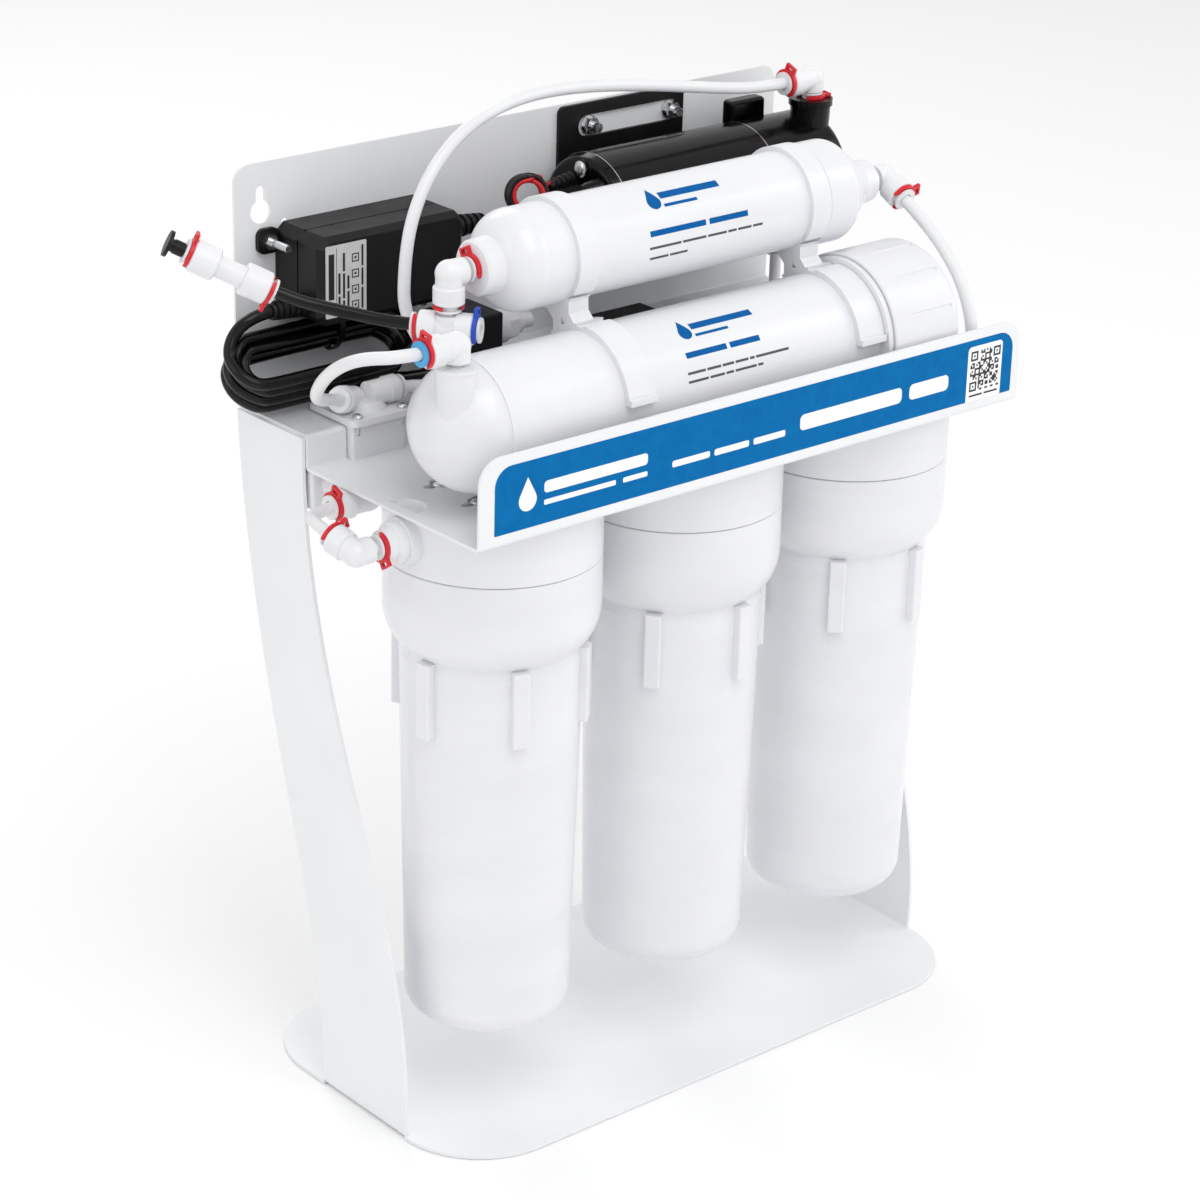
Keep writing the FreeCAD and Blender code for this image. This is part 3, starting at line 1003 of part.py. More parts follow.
save("mains_adapter", make_adapter())
save("mains_strain_relief", make_relief(MAINS_EXIT, -X, 6.0, 4.6, 19.0, CABLE_R))
save("dc_strain_relief", make_relief(DC_EXIT, X, DC_BOOT_R, 4.4, 24.0, DC_R))
cable_in = tube(MAINS_IN, CABLE_R, "mains_cable_in")
cable_out = tube(MAINS_OUT, CABLE_R, "mains_cable_out")
dc_cable = tube(DC_CABLE, DC_R, "dc_cable")
save("mains_cable_in", cable_in)
save("mains_cable_out", cable_out)
save("mains_hank", make_hank().cut(cable_in).cut(cable_out))
save("mains_plug", make_plug().cut(cable_out))
save("dc_cable", dc_cable)
save("pump_leads", make_pump_leads(dc_cable))
save("pressure_switch", make_pressure_switch())
save("collets", group(collets))
save("locking_clips", group(locking_clips))
print("files", len(os.listdir("parts")))
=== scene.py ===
import json
import math

import bmesh
import bpy
from mathutils import Matrix, Vector


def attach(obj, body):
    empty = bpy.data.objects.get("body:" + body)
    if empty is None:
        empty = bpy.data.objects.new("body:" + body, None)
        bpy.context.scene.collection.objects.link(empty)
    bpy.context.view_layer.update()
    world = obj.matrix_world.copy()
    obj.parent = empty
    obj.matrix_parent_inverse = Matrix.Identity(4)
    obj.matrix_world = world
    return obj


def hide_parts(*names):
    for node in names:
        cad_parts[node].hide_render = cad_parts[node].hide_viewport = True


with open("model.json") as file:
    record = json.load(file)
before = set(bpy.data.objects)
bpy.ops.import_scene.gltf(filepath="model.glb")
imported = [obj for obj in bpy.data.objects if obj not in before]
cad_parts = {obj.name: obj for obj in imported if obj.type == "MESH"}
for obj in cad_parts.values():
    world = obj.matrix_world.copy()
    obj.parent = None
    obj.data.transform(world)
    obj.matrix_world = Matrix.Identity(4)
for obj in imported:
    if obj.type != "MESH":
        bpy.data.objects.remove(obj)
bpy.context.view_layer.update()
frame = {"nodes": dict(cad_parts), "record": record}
SLOT_OF = {s["node"]: s["material_slot"] for s in frame["record"]["subparts"]}
MM = 0.001
X, Y, Z = Vector((1, 0, 0)), Vector((0, 1, 0)), Vector((0, 0, 1))

# ---- camera -------------------------------------------------------------------------------------
CAMERA_PLACE = Vector((-1.108536, -1.252536, 0.944600))
CAMERA_RIGHT = Vector((0.761864, -0.647247, 0.025203))
CAMERA_UP = Vector((0.234048, 0.311358, 0.921020))
CAMERA_LENS = 102.99
camera = bpy.data.objects.new("camera", bpy.data.cameras.new("camera"))
bpy.context.scene.collection.objects.link(camera)
camera.data.lens, camera.data.sensor_width = CAMERA_LENS, 36.0
camera.data.clip_start, camera.data.clip_end = 0.05, 40.0
back = CAMERA_RIGHT.cross(CAMERA_UP)
axes = Matrix((CAMERA_RIGHT, CAMERA_UP, back)).transposed().to_4x4()
camera.matrix_world = Matrix.Translation(CAMERA_PLACE) @ axes
bpy.context.scene.camera = camera


# ---- materials ----------------------------------------------------------------------------------
def rgb(r, g, b):
    """Linear colour of an 0..255 screen colour."""
    values = [c / 255.0 for c in (r, g, b)]
    return [c / 12.92 if c <= 0.04045 else ((c + 0.055) / 1.055) ** 2.4 for c in values] + [1.0]


class Shader:
    """A Principled material with object-space textures in millimetre sizes."""

    def __init__(self, name, colour, rough, **sockets):
        self.material = bpy.data.materials.new(name)
        self.material.use_nodes = True
        self.nodes = self.material.node_tree.nodes
        self.links = self.material.node_tree.links
        self.bsdf = self.nodes["Principled BSDF"]
        self.bsdf.inputs["Base Color"].default_value = colour
        self.bsdf.inputs["Roughness"].default_value = rough
        for socket, value in sockets.items():
            self.bsdf.inputs[socket.replace("_", " ")].default_value = value
        self.place = self.nodes.new("ShaderNodeTexCoord").outputs["Object"]
        self.normal = None

    def link(self, a, b):
        self.links.new(a, b)

    def noise(self, size, detail=3.0, stretch=None):
        """Noise whose features are about size millimetres across."""
        node = self.nodes.new("ShaderNodeTexNoise")
        node.inputs["Scale"].default_value = 1000.0 / size
        node.inputs["Detail"].default_value = detail
        place = self.place
        if stretch is not None:
            mapping = self.nodes.new("ShaderNodeMapping")
            mapping.inputs["Scale"].default_value = stretch
            self.link(place, mapping.inputs["Vector"])
            place = mapping.outputs["Vector"]
        self.link(place, node.inputs["Vector"])
        return node.outputs["Fac"]

    def ramp(self, value, low, high, at=(0.3, 0.7)):
        """Maps a value to a colour between low and high."""
        node = self.nodes.new("ShaderNodeValToRGB")
        for element, colour, position in zip(node.color_ramp.elements, (low, high), at):
            element.color, element.position = colour, position
        self.link(value, node.inputs["Fac"])
        return node.outputs["Color"]

    def tint(self, value, low, high, at=(0.3, 0.7)):
        self.link(self.ramp(value, low, high, at), self.bsdf.inputs["Base Color"])
        return self

    def gloss(self, value, low, high):
        """Roughness that varies between low and high."""
        node = self.nodes.new("ShaderNodeMapRange")
        node.inputs["From Min"].default_value, node.inputs["From Max"].default_value = 0.3, 0.7
        node.inputs["To Min"].default_value, node.inputs["To Max"].default_value = low, high
        self.link(value, node.inputs["Value"])
        self.link(node.outputs["Result"], self.bsdf.inputs["Roughness"])
        return self

    def bump(self, value, height, strength=1.0):
        """Relief height millimetres deep."""
        node = self.nodes.new("ShaderNodeBump")
        node.inputs["Distance"].default_value = height * MM
        node.inputs["Strength"].default_value = strength
        self.link(value, node.inputs["Height"])
        if self.normal is not None:
            self.link(self.normal, node.inputs["Normal"])
        self.normal = node.outputs["Normal"]
        self.link(self.normal, self.bsdf.inputs["Normal"])
        return self


def white_plastic(name, shade, rough, soft):
    """Glossy moulded polypropylene: faint flow marks, mottled gloss and a slight translucency."""
    s = Shader(name, rgb(*shade), rough, Subsurface_Weight=soft, Subsurface_Scale=0.004, IOR=1.49)
    low = rgb(*[max(0, c - 5) for c in shade])
    s.tint(s.noise(38.0, 2.0, (0.5, 0.5, 1.6)), low, rgb(*shade))
    s.gloss(s.noise(70.0, 2.0), rough - 0.02, rough + 0.04)
    s.bump(s.noise(45.0, 1.0), 0.06, 0.3)
    return s.bump(s.noise(1.6, 2.0), 0.004, 0.35).material


def black_plastic(name, shade, rough, grain, deep, shine=0.3):
    s = Shader(name, rgb(*shade), rough, Specular_IOR_Level=shine)
    s.tint(s.noise(22.0), rgb(*[max(0, c - 3) for c in shade]), rgb(*[c + 4 for c in shade]))
    s.gloss(s.noise(14.0), rough - 0.03, rough + 0.05)
    return s.bump(s.noise(grain, 3.0), deep, 0.4).material


def powder_coat():
    """Satin white powder coat on sheet steel, with its fine orange peel."""
    s = Shader("powder_coat_white", rgb(236, 238, 240), 0.36, Coat_Weight=0.25, Coat_Roughness=0.22)
    s.tint(s.noise(60.0, 2.0), rgb(233, 235, 237), rgb(239, 240, 242))
    s.gloss(s.noise(9.0), 0.31, 0.44)
    return s.bump(s.noise(1.1, 2.0), 0.03, 0.55).material


def steel(name, shade, rough):
    s = Shader(name, rgb(*shade), rough, Metallic=1.0)
    s.tint(s.noise(3.0), rgb(*[c - 22 for c in shade]), rgb(*shade))
    s.gloss(s.noise(1.6), rough - 0.08, rough + 0.14)
    return s.bump(s.noise(0.7, 3.0), 0.02, 0.6).material


def printed(name, shade, rough=0.42, shine=0.5):
    """Ink or film with a faint mottling."""
    s = Shader(name, rgb(*shade), rough, Specular_IOR_Level=shine)
    s.tint(s.noise(5.0), rgb(*[max(0, c - 5) for c in shade]), rgb(*[min(255, c + 3) for c in shade]))
    s.gloss(s.noise(3.0), rough - 0.06, rough + 0.08)
    return s.bump(s.noise(1.4), 0.006, 0.5).material


def pleated():
    """Spun white fibre of the filter cartridges."""
    s = Shader("spun_fibre", rgb(236, 235, 230), 0.85)
    s.tint(s.noise(4.0, 6.0), rgb(222, 221, 214), rgb(243, 242, 238))
    return s.bump(s.noise(1.2, 6.0, (1, 1, 4)), 0.3).material


LOOKS = {
    "frame_white": powder_coat(),
    "housing_white": white_plastic("housing_plastic", (233, 234, 237), 0.22, 0.08),
    "fitting_white": white_plastic("fitting_plastic", (234, 235, 237), 0.28, 0.12),
    "cartridge_white": pleated(),
    "membrane_film": printed("membrane_film_wrap", (226, 228, 222), 0.5),
    "tube_white": white_plastic("tube_polyethylene", (232, 234, 236), 0.3, 0.2),
    "tube_black": black_plastic("tube_black", (7, 7, 8), 0.2, 3.0, 0.006),
    "clip_red": white_plastic("clip_red", (214, 20, 38), 0.34, 0.05),
    "black_plastic": black_plastic("grained_black_plastic", (13, 13, 14), 0.42, 0.5, 0.03),
    "black_paint": black_plastic("black_paint", (9, 9, 10), 0.3, 1.3, 0.01),
    "rubber_black": black_plastic("black_rubber", (11, 11, 12), 0.42, 0.8, 0.02),
    "steel": steel("zinc_steel", (228, 229, 231), 0.2),
}
MOTOR_BLACK = black_plastic("motor_can_black", (4, 4, 5), 0.17, 4.0, 0.006, 0.22)
CABLE_BLACK = black_plastic("cable_pvc_black", (7, 7, 8), 0.2, 3.0, 0.005)
LABEL_BLUE = printed("label_blue", (0, 108, 172), 0.55, 0.06)
PRINT_BLUE = printed("print_blue", (0, 92, 160), 0.5, 0.08)
PRINT_WHITE = printed("print_white", (247, 248, 249), 0.36)
PRINT_GREY = printed("print_grey", (70, 74, 80), 0.45)
LABEL_GREY = printed("label_foil", (203, 204, 202), 0.35)
PRINT_BLACK = printed("print_black", (28, 28, 30), 0.45)
CLIP_BLUE = white_plastic("clip_blue", (30, 74, 190), 0.34, 0.05)
COLLAR_BLUE = white_plastic("collar_light_blue", (74, 170, 224), 0.34, 0.1)
LEAD_RED = white_plastic("lead_red", (196, 18, 30), 0.32, 0.05)

for node, obj in frame["nodes"].items():
    obj.data.materials.clear()
    obj.data.materials.append(LOOKS[SLOT_OF[node]])
for node in ("pump_motor", "pump_end_cap", "pump_head"):
    frame["nodes"][node].data.materials[0] = MOTOR_BLACK


# ---- helpers for pieces -------------------------------------------------------------------------
def piece(name, mesh, material, body, smooth=None):
    """A finished mesh as a named piece that rides on a body."""
    data = bpy.data.meshes.new(name)
    bmesh.ops.recalc_face_normals(mesh, faces=mesh.faces[:])
    mesh.to_mesh(data)
    mesh.free()
    obj = bpy.data.objects.new(name, data)
    bpy.context.scene.collection.objects.link(obj)
    data.materials.append(material)
    for face in data.polygons:
        face.use_smooth = smooth is not None
    if smooth is not None:
        data.set_sharp_from_angle(angle=math.radians(smooth))
    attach(obj, body)
    return obj


def turned(mesh, profile, place, axis, steps=48):
    """Adds a closed solid of revolution: profile is (along, radius) in mm, both ends on the axis or a ring."""
    axis = axis.normalized()
    side = axis.orthogonal().normalized()
    other = axis.cross(side)
    rings = []
    for along, radius in profile:
        ring = []
        for k in range(steps):
            a = math.tau * k / steps
            spoke = (side * math.cos(a) + other * math.sin(a)) * radius
            ring.append(mesh.verts.new((place + axis * along + spoke) * MM))
        rings.append(ring)
    for one, two in zip(rings, rings[1:] + rings[:1]):
        if two is rings[0] and profile[0][1] > 0 and profile[-1][1] > 0:
            continue
        for k in range(steps):
            n = (k + 1) % steps
            mesh.faces.new((one[k], one[n], two[n], two[k]))
    for ring, radius in ((rings[0], profile[0][1]), (rings[-1], profile[-1][1])):
        if radius > 0:
            mesh.faces.new(ring)


def hoop(mesh, profile, place, axis, steps=64):
    """Adds a ring of revolution whose closed profile (along, radius) doesn't reach the axis."""
    axis = axis.normalized()
    side = axis.orthogonal().normalized()
    other = axis.cross(side)
    rings = []
    for k in range(steps):
        a = math.tau * k / steps
        spoke = side * math.cos(a) + other * math.sin(a)
        rings.append([mesh.verts.new((place + axis * s + spoke * r) * MM) for s, r in profile])
    count = len(profile)
    for k in range(steps):
        one, two = rings[k], rings[(k + 1) % steps]
        for j in range(count):
            n = (j + 1) % count
            mesh.faces.new((one[j], one[n], two[n], two[j]))


def slab(mesh, outline, surface, thick, low=0.0):
    """Adds a thin solid: outline is (u, v) in mm, surface(u, v, height) gives its place in mm."""
    bottom = [mesh.verts.new(surface(u, v, low) * MM) for u, v in outline]
    top = [mesh.verts.new(surface(u, v, low + thick) * MM) for u, v in outline]
    mesh.faces.new(bottom)
    mesh.faces.new(top)
    for k in range(len(outline)):
        n = (k + 1) % len(outline)
        mesh.faces.new((bottom[k], bottom[n], top[n], top[k]))


def grid_slab(mesh, u0, u1, v0, v1, surface, thick, low=0.0, cells=(8, 2)):
    """Adds a thin bent solid over a curved surface."""
    nu, nv = cells
    layers = []
    for height in (low, low + thick):
        layers.append([[mesh.verts.new(surface(u0 + (u1 - u0) * i / nu, v0 + (v1 - v0) * j / nv, height) * MM)
                        for j in range(nv + 1)] for i in range(nu + 1)])
    for layer in layers:
        for i in range(nu):
            for j in range(nv):
                mesh.faces.new((layer[i][j], layer[i + 1][j], layer[i + 1][j + 1], layer[i][j + 1]))
    low_layer, high_layer = layers
    for i in range(nu):
        for j in (0, nv):
            mesh.faces.new((low_layer[i][j], low_layer[i + 1][j], high_layer[i + 1][j], high_layer[i][j]))
    for j in range(nv):
        for i in (0, nu):
            mesh.faces.new((low_layer[i][j], low_layer[i][j + 1], high_layer[i][j + 1], high_layer[i][j]))


def rounded(u0, u1, v0, v1, radii, steps=6):
    """Outline of a rectangle with corner radii in the order low-low, high-low, high-high, low-high."""
    points = []
    corners = ((u0, v0, 180, 1, 1), (u1, v0, 270, -1, 1), (u1, v1, 0, -1, -1), (u0, v1, 90, 1, -1))
    for (u, v, start, su, sv), r in zip(corners, radii):
        if r <= 0:
            points.append((u, v))
            continue
        for k in range(steps + 1):
            a = math.radians(start + 90.0 * k / steps)
            points.append((u + su * r + r * math.cos(a), v + sv * r + r * math.sin(a)))
    return points


# ---- cords and tubes ----------------------------------------------------------------------------
def cord_curve(name, points, diameter, material, body="stand"):
    """A cord as one open NURBS spline through control points in metres."""
    curve = bpy.data.curves.new(name, "CURVE")
    curve.dimensions = "3D"
    spline = curve.splines.new("NURBS")
    spline.points.add(len(points) - 1)
    for point, place in zip(spline.points, points):
        point.co = (*place, 1.0)
    spline.order_u = 3
    spline.use_endpoint_u = True
    curve.resolution_u = 12
    curve.bevel_depth = diameter / 2
    curve.bevel_resolution = 6
    curve.use_fill_caps = True
    curve.materials.append(material)
    obj = bpy.data.objects.new(name, curve)
    bpy.context.scene.collection.objects.link(obj)
    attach(obj, body)
    return obj


TUBE_D, CABLE_D, DC_D, LEAD_D = 0.00635, 0.0064, 0.0034, 0.0025
INLET_TUBE = [(-0.20502, -0.03034, 0.32729), (-0.20998, -0.00806, 0.33471), (-0.202, 0.009, 0.3332),
              (-0.174, 0.009, 0.3332)]
PERMEATE_TUBE = [(-0.175, -0.0631, 0.4319), (-0.1985, -0.0631, 0.4319), (-0.2145, -0.046, 0.43),
                 (-0.211, -0.018, 0.4135), (-0.2005, 0.0065, 0.3925), (-0.17011, 0.035, 0.37698),
                 (-0.14716, 0.049, 0.36914)]
OUTLET_TUBE = [(-0.14305, -0.02064, 0.4245), (-0.15731, -0.00258, 0.4245), (-0.174, 0.015, 0.4285),
               (-0.19259, 0.03356, 0.43324), (-0.21127, 0.04594, 0.44432)]
POST_TUBE = [(0.148, -0.02619, 0.44974), (0.148, -0.05135, 0.43745), (0.15, -0.077, 0.416),
             (0.151, -0.0895, 0.393), (0.1515, -0.092, 0.369), (0.1515, -0.08, 0.352), (0.152, -0.056, 0.3474),
             (0.1525, -0.028, 0.3478), (0.146, -0.003, 0.349), (0.124, 0.011, 0.35), (0.096, 0.014, 0.349),
             (0.04, 0.017, 0.35), (-0.018, 0.013, 0.349), (-0.06, 0.014, 0.3505), (-0.082, 0.028, 0.362),
             (-0.106, 0.045, 0.3712), (-0.1345, 0.045, 0.3712)]
PUMP_TUBE = [(0.161, 0.054, 0.4855), (0.1315, 0.054, 0.4855), (0.102, 0.053, 0.4895), (0.05, 0.051, 0.4995),
             (-0.002, 0.049, 0.507), (-0.045, 0.044, 0.509), (-0.082, 0.0385, 0.502), (-0.108, 0.0335, 0.4855),
             (-0.124, 0.0295, 0.464), (-0.1315, 0.0255, 0.441), (-0.1325, 0.0245, 0.415),
             (-0.118, 0.01, 0.3861), (-0.118, -0.019, 0.3861)]
FEED_TUBE = [(0.152, 0.06, 0.404), (0.152, 0.06, 0.38), (0.1526, 0.0606, 0.357), (0.15, 0.0606, 0.3385),
             (0.139, 0.0565, 0.328), (0.1285, 0.0505, 0.3265), (0.1207, 0.0355, 0.3265),
             (0.1207, 0.019, 0.3265)]
DC_CABLE = [(-0.042, 0.077, 0.436), (-0.03, 0.0765, 0.4364), (-0.023, 0.069, 0.438), (-0.027, 0.057, 0.441),
            (-0.04, 0.04211, 0.44877)]
MAINS_IN = [(-0.176, 0.076, 0.413), (-0.188, 0.0763, 0.412), (-0.197, 0.0785, 0.404), (-0.196, 0.081, 0.396)]
MAINS_OUT = [(-0.104, 0.065, 0.3756), (-0.087, 0.0535, 0.3695), (-0.062, 0.047, 0.3646),
             (-0.036, 0.046, 0.3636), (-0.012, 0.049, 0.3636), (0.01, 0.054, 0.3668)]

TUBES = (("inlet_tube", INLET_TUBE, 0.068, "tube_white"), ("permeate_tube", PERMEATE_TUBE, 0.182, "tube_white"),
         ("outlet_tube", OUTLET_TUBE, 0.099, "tube_black"), ("postfilter_tube", POST_TUBE, 0.503, "tube_white"),
         ("pump_tube", PUMP_TUBE, 0.415, "tube_white"), ("pump_feed_tube", FEED_TUBE, 0.125, "tube_white"))
for node, points, length, slot in TUBES:
    tube = cord_curve(node + "_line", points, TUBE_D, LOOKS[slot])
    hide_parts(node)

# The mains cable: down from the case, the loose turns of a hank, then along the shelf to its plug.
HANK_MIDDLE = Vector((0, 74.0, 382.75))
HANK_ACROSS = Vector((0, 16.0, 11.5)).normalized()
HANK_OUT = HANK_ACROSS.cross(X)
HANK_ENDS = (-184.0, -112.0)
# Runs of the hank as (across, out), and how far the loops at its two ends reach beyond the runs.
LOW_RUNS = ((-13.4, -9.8), (-13.4, -3.2), (-7.8, 0.1), (-13.4, 3.4), (-7.8, 6.7), (-13.4, 9.6))
HIGH_RUNS = ((15.6, -9.6), (10.2, -6.7), (15.8, -3.4), (10.2, -0.1), (15.8, 3.2))
LEFT_REACH = (16.0, 10.0, 16.5, 10.6, 15.2)
RIGHT_REACH = (18.0, 12.0, 17.5, 11.5, 16.5)


def hank_point(x, across, out):
    place = HANK_MIDDLE + HANK_ACROSS * across + HANK_OUT * out
    return tuple(Vector((x, place.y, place.z)) * MM)


def hank_loop(x, reach, start, stop):
    """Half turn at an end of the hank from one run to the next."""
    points = []
    for k in range(4):
        share = (k + 0.5) / 4
        swing = math.cos(math.pi * share) * 1.05
        middle, half = (start[0] + stop[0]) / 2, (start[0] - stop[0]) / 2
        points.append(hank_point(x + reach * math.sin(math.pi * share) * 1.06, middle + half * swing,
                                 start[1] + (stop[1] - start[1]) * share))
    return points


def hank_run(x0, x1, run, wave):
    points = []
    for share in (0.0, 0.33, 0.67, 1.0):
        sway = 0.5 * math.sin(share * 4.0 + wave)
        points.append(hank_point(x0 + (x1 - x0) * share, run[0] + sway, run[1] + sway * 0.6))
    return points


left, right = HANK_ENDS
mains = list(MAINS_IN[:-1]) + [hank_point(-202.0, 8.0, -9.0), hank_point(-202.5, -4.0, -9.6),
                               hank_point(-196.0, -12.5, -9.8)]
for k, low in enumerate(LOW_RUNS):
    mains += hank_run(left, right, low, 1.3 * k)
    if k < len(HIGH_RUNS):
        mains += hank_loop(right, RIGHT_REACH[k], low, HIGH_RUNS[k])
        mains += hank_run(right, left, HIGH_RUNS[k], 2.1 * k)
        mains += hank_loop(left, -LEFT_REACH[k], HIGH_RUNS[k], LOW_RUNS[k + 1])
mains.append((-0.1, 0.0615, 0.3672))
mains += MAINS_OUT[1:]
mains_cord = cord_curve("mains_cable_line", mains, CABLE_D, CABLE_BLACK)
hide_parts("mains_cable_in", "mains_hank", "mains_cable_out")

# The low-voltage lead and the small coil of the pump's two wires.
dc_cord = cord_curve("dc_cable_line", DC_CABLE, DC_D, CABLE_BLACK)
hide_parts("dc_cable")
COIL_CENTRE = Vector((-39.0, 44.0, 457.0))
COIL_NORMAL = Vector((-0.45, -0.85, 0.25)).normalized()
COIL_DOWN = (COIL_NORMAL * COIL_NORMAL.z - Z).normalized()
COIL_SIDE = COIL_NORMAL.cross(COIL_DOWN)
BOOT_BASE, BOOT_TIP = Vector((13.0, 68.5, 452.0)), Vector((-8.0, 65.5, 451.2))
LEAD_END = ((-27.5, 48.5, 463.5), (-17.0, 59.0, 454.0), (-8.5, 65.4, 451.2), (-3.0, 66.2, 451.4))


def lead(name, material, radius, turns, start, climb, shift):
    """One wire: two or more turns about the coil, then across to the boot on the motor."""
    points = [tuple(c + s * MM for c, s in zip(DC_CABLE[-1], (shift * 0.4, 0, shift)))]
    steps = 12
    for k in range(1, int(steps * turns) + 1):
        a = -math.tau * k / steps - start
        wave = 0.4 * math.sin(0.9 * k + radius)
        spoke = COIL_DOWN * math.cos(a) + COIL_SIDE * math.sin(a)
        height = climb * (k / (steps * turns) - 0.5)
        place = COIL_CENTRE + spoke * (radius + wave) + COIL_NORMAL * height
        points.append(tuple(place * MM))
    points += [tuple(Vector((x, y, z + shift)) * MM) for x, y, z in LEAD_END]
    obj = cord_curve(name, points, LEAD_D, material)
    return obj, points


black_lead, black_points = lead("pump_lead_black", CABLE_BLACK, 10.2, 2.5, 0.0, 11.0, -1.3)
red_lead, red_points = lead("pump_lead_red", LEAD_RED, 7.9, 2.5, 0.0, 11.0, 1.3)
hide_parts("pump_leads")

# ---- printed labels -----------------------------------------------------------------------------
FLANGE_FRONT = -97.5
FILM = 0.12
INK = 0.05


def on_flange(u, v, height):
    return Vector((u, FLANGE_FRONT - height, v))


def on_tube(middle_y, middle_z, radius):
    """Surface of a horizontal housing: u along X in mm, v is the angle above its front in degrees."""
    def place(u, v, height):
        a = math.radians(v)
        return Vector((u, middle_y - (radius + height) * math.cos(a), middle_z + (radius + height) * math.sin(a)))
    return place


def drop_outline(u, v, size):
    """Generic water drop of that height, standing on (u, v)."""
    r = size * 0.32
    points = [(u, v + size)]
    for k in range(17):
        a = math.radians(28 - 236 * k / 16)
        points.append((u + r * math.cos(a), v + r + r * math.sin(a)))
    return points


label = bmesh.new()
slab(label, rounded(-172.3, 175.9, 347.9, 381.6, (0.6, 0.6, 10.0, 10.0), 10), on_flange, FILM)
piece("front_label", label, LABEL_BLUE, "stand")

# Plain bars and a drop stand where the real label has its name.
print_white = bmesh.new()
slab(print_white, drop_outline(-152.5, 356.5, 17.0), on_flange, INK, FILM)
for u0, u1, v0, v1 in ((-142.5, -78.0, 363.2, 369.2), (-142.5, -98.0, 357.2, 359.8), (-93.5, -78.0, 357.2, 359.8),
                       (-62.0, -37.5, 357.8, 361.2), (-34.5, -11.5, 357.8, 361.2), (-8.5, 13.0, 357.8, 361.2),
                       (23.0, 94.5, 358.2, 366.6), (100.0, 128.5, 358.2, 366.6)):
    r = (v1 - v0) * 0.32
    slab(print_white, rounded(u0, u1, v0, v1, (r, r, r, r)), on_flange, INK, FILM)
slab(print_white, rounded(142.4, 168.0, 347.9, 378.0, (0.0, 0.0, 2.4, 2.4)), on_flange, INK, FILM)
piece("front_label_print", print_white, PRINT_WHITE, "stand")

# A plain field of squares with three corner rings, which says nothing.
squares = bmesh.new()
FIELD_U, FIELD_V, CELL, CELLS = 144.6, 353.2, 1.05, 21


def corner_ring(i, j):
    """True in the corner rings, False in the gap round them, None elsewhere."""
    for ci, cj in ((0, 0), (0, CELLS - 5), (CELLS - 5, CELLS - 5)):
        a, b = i - ci, j - cj
        if -1 <= a <= 5 and -1 <= b <= 5:
            inside = 0 <= a <= 4 and 0 <= b <= 4
            return inside and (a in (0, 4) or b in (0, 4) or (a == 2 and b == 2))
    return None


for i in range(CELLS):
    for j in range(CELLS):
        ring = corner_ring(i, j)
        dark = (i * 3 + j * 5 + (i * j) % 7) % 4 < 2 if ring is None else ring
        if dark:
            u, v = FIELD_U + i * CELL, FIELD_V + j * CELL
            slab(squares, [(u, v), (u + CELL, v), (u + CELL, v + CELL), (u, v + CELL)], on_flange, 0.03, FILM + INK)
for u0, u1 in ((144.8, 154.6), (155.8, 165.8)):
    slab(squares, rounded(u0, u1, 350.3, 351.3, (0.3,) * 4, 3), on_flange, 0.03, FILM + INK)
piece("front_label_squares", squares, PRINT_BLACK, "stand")


def drop_half_width(up, tall):
    """Half the width of a drop of that height, up millimetres above its lowest point."""
    r = tall * 0.32
    if up < 1.45 * r:
        return math.sqrt(max(r * r - (up - r) ** 2, 0.01))
    return 0.893 * r * (tall - up) / (tall - 1.45 * r) + 0.03


def housing_print(name, surface, radius, brand, heading, lines):
    """Blue drop and bars over thin grey word bars, in place of a housing's print."""
    ink = bmesh.new()
    u0, u1, v0, v1 = brand
    middle = (v0 + v1) / 2
    size = (v1 - v0) * 0.36
    tall = (v1 - v0) * math.radians(radius)

    def on_drop(across, up, height):
        return surface(u0 + 3.4 + across * drop_half_width(up * tall, tall), v0 + up * (v1 - v0), height)

    grid_slab(ink, -1.0, 1.0, 0.0, 1.0, on_drop, INK, 0.0, (4, 18))
    grid_slab(ink, u0 + 8.5, u1, middle - size * 0.25, middle + size * 0.62, surface, INK, 0.0, (6, 4))
    grid_slab(ink, u0 + 8.5, u0 + 30.0, v0 + 1.0, v0 + 1.0 + size * 0.36, surface, INK, 0.0, (4, 2))
    for a, b in heading[2]:
        grid_slab(ink, a, b, heading[0], heading[1], surface, INK, 0.0, (4, 2))
    piece(name + "_print", ink, PRINT_BLUE, "stand")
    words = bmesh.new()
    for low, high, spans in lines:
        for a, b in spans:
            grid_slab(words, a, b, low, high, surface, INK, 0.0, (3, 1))
    piece(name + "_small_print", words, PRINT_GREY, "stand")


def words(start, widths, gap=1.1):
    spans, u = [], start
    for w in widths:
        spans.append((u, u + w))
        u += w + gap
    return spans


housing_print("postfilter", on_tube(-22.6, 451.5, 25.4), 25.4, (-30.5, 17.0, 41.0, 70.0),
              (12.0, 18.5, ((-36.0, 0.5), (2.8, 28.6))),
              ((-2.2, 0.6, words(-36.8, (20.5, 15.5, 12.5, 5.5, 9.0, 6.5))),
               (-14.6, -11.8, words(-36.0, (12.0, 11.5)))))
housing_print("membrane", on_tube(-53.4, 386.1, 33.0), 33.0, (-36.5, 12.5, 50.0, 71.0),
              (33.4, 38.6, ((-39.6, -13.0), (-10.8, 9.0))),
              ((19.6, 21.8, words(-41.6, (11.5, 9.0, 7.5, 8.5, 3.0, 22.0))),
               (12.4, 14.5, words(-42.0, (13.0, 9.5, 5.0, 14.0, 3.5)))))

# The adapter's label: a foil patch whose lines of words run upwards.
ADAPTER_FRONT = 60.5


def on_adapter(u, v, height):
    return Vector((u, ADAPTER_FRONT - height, v))


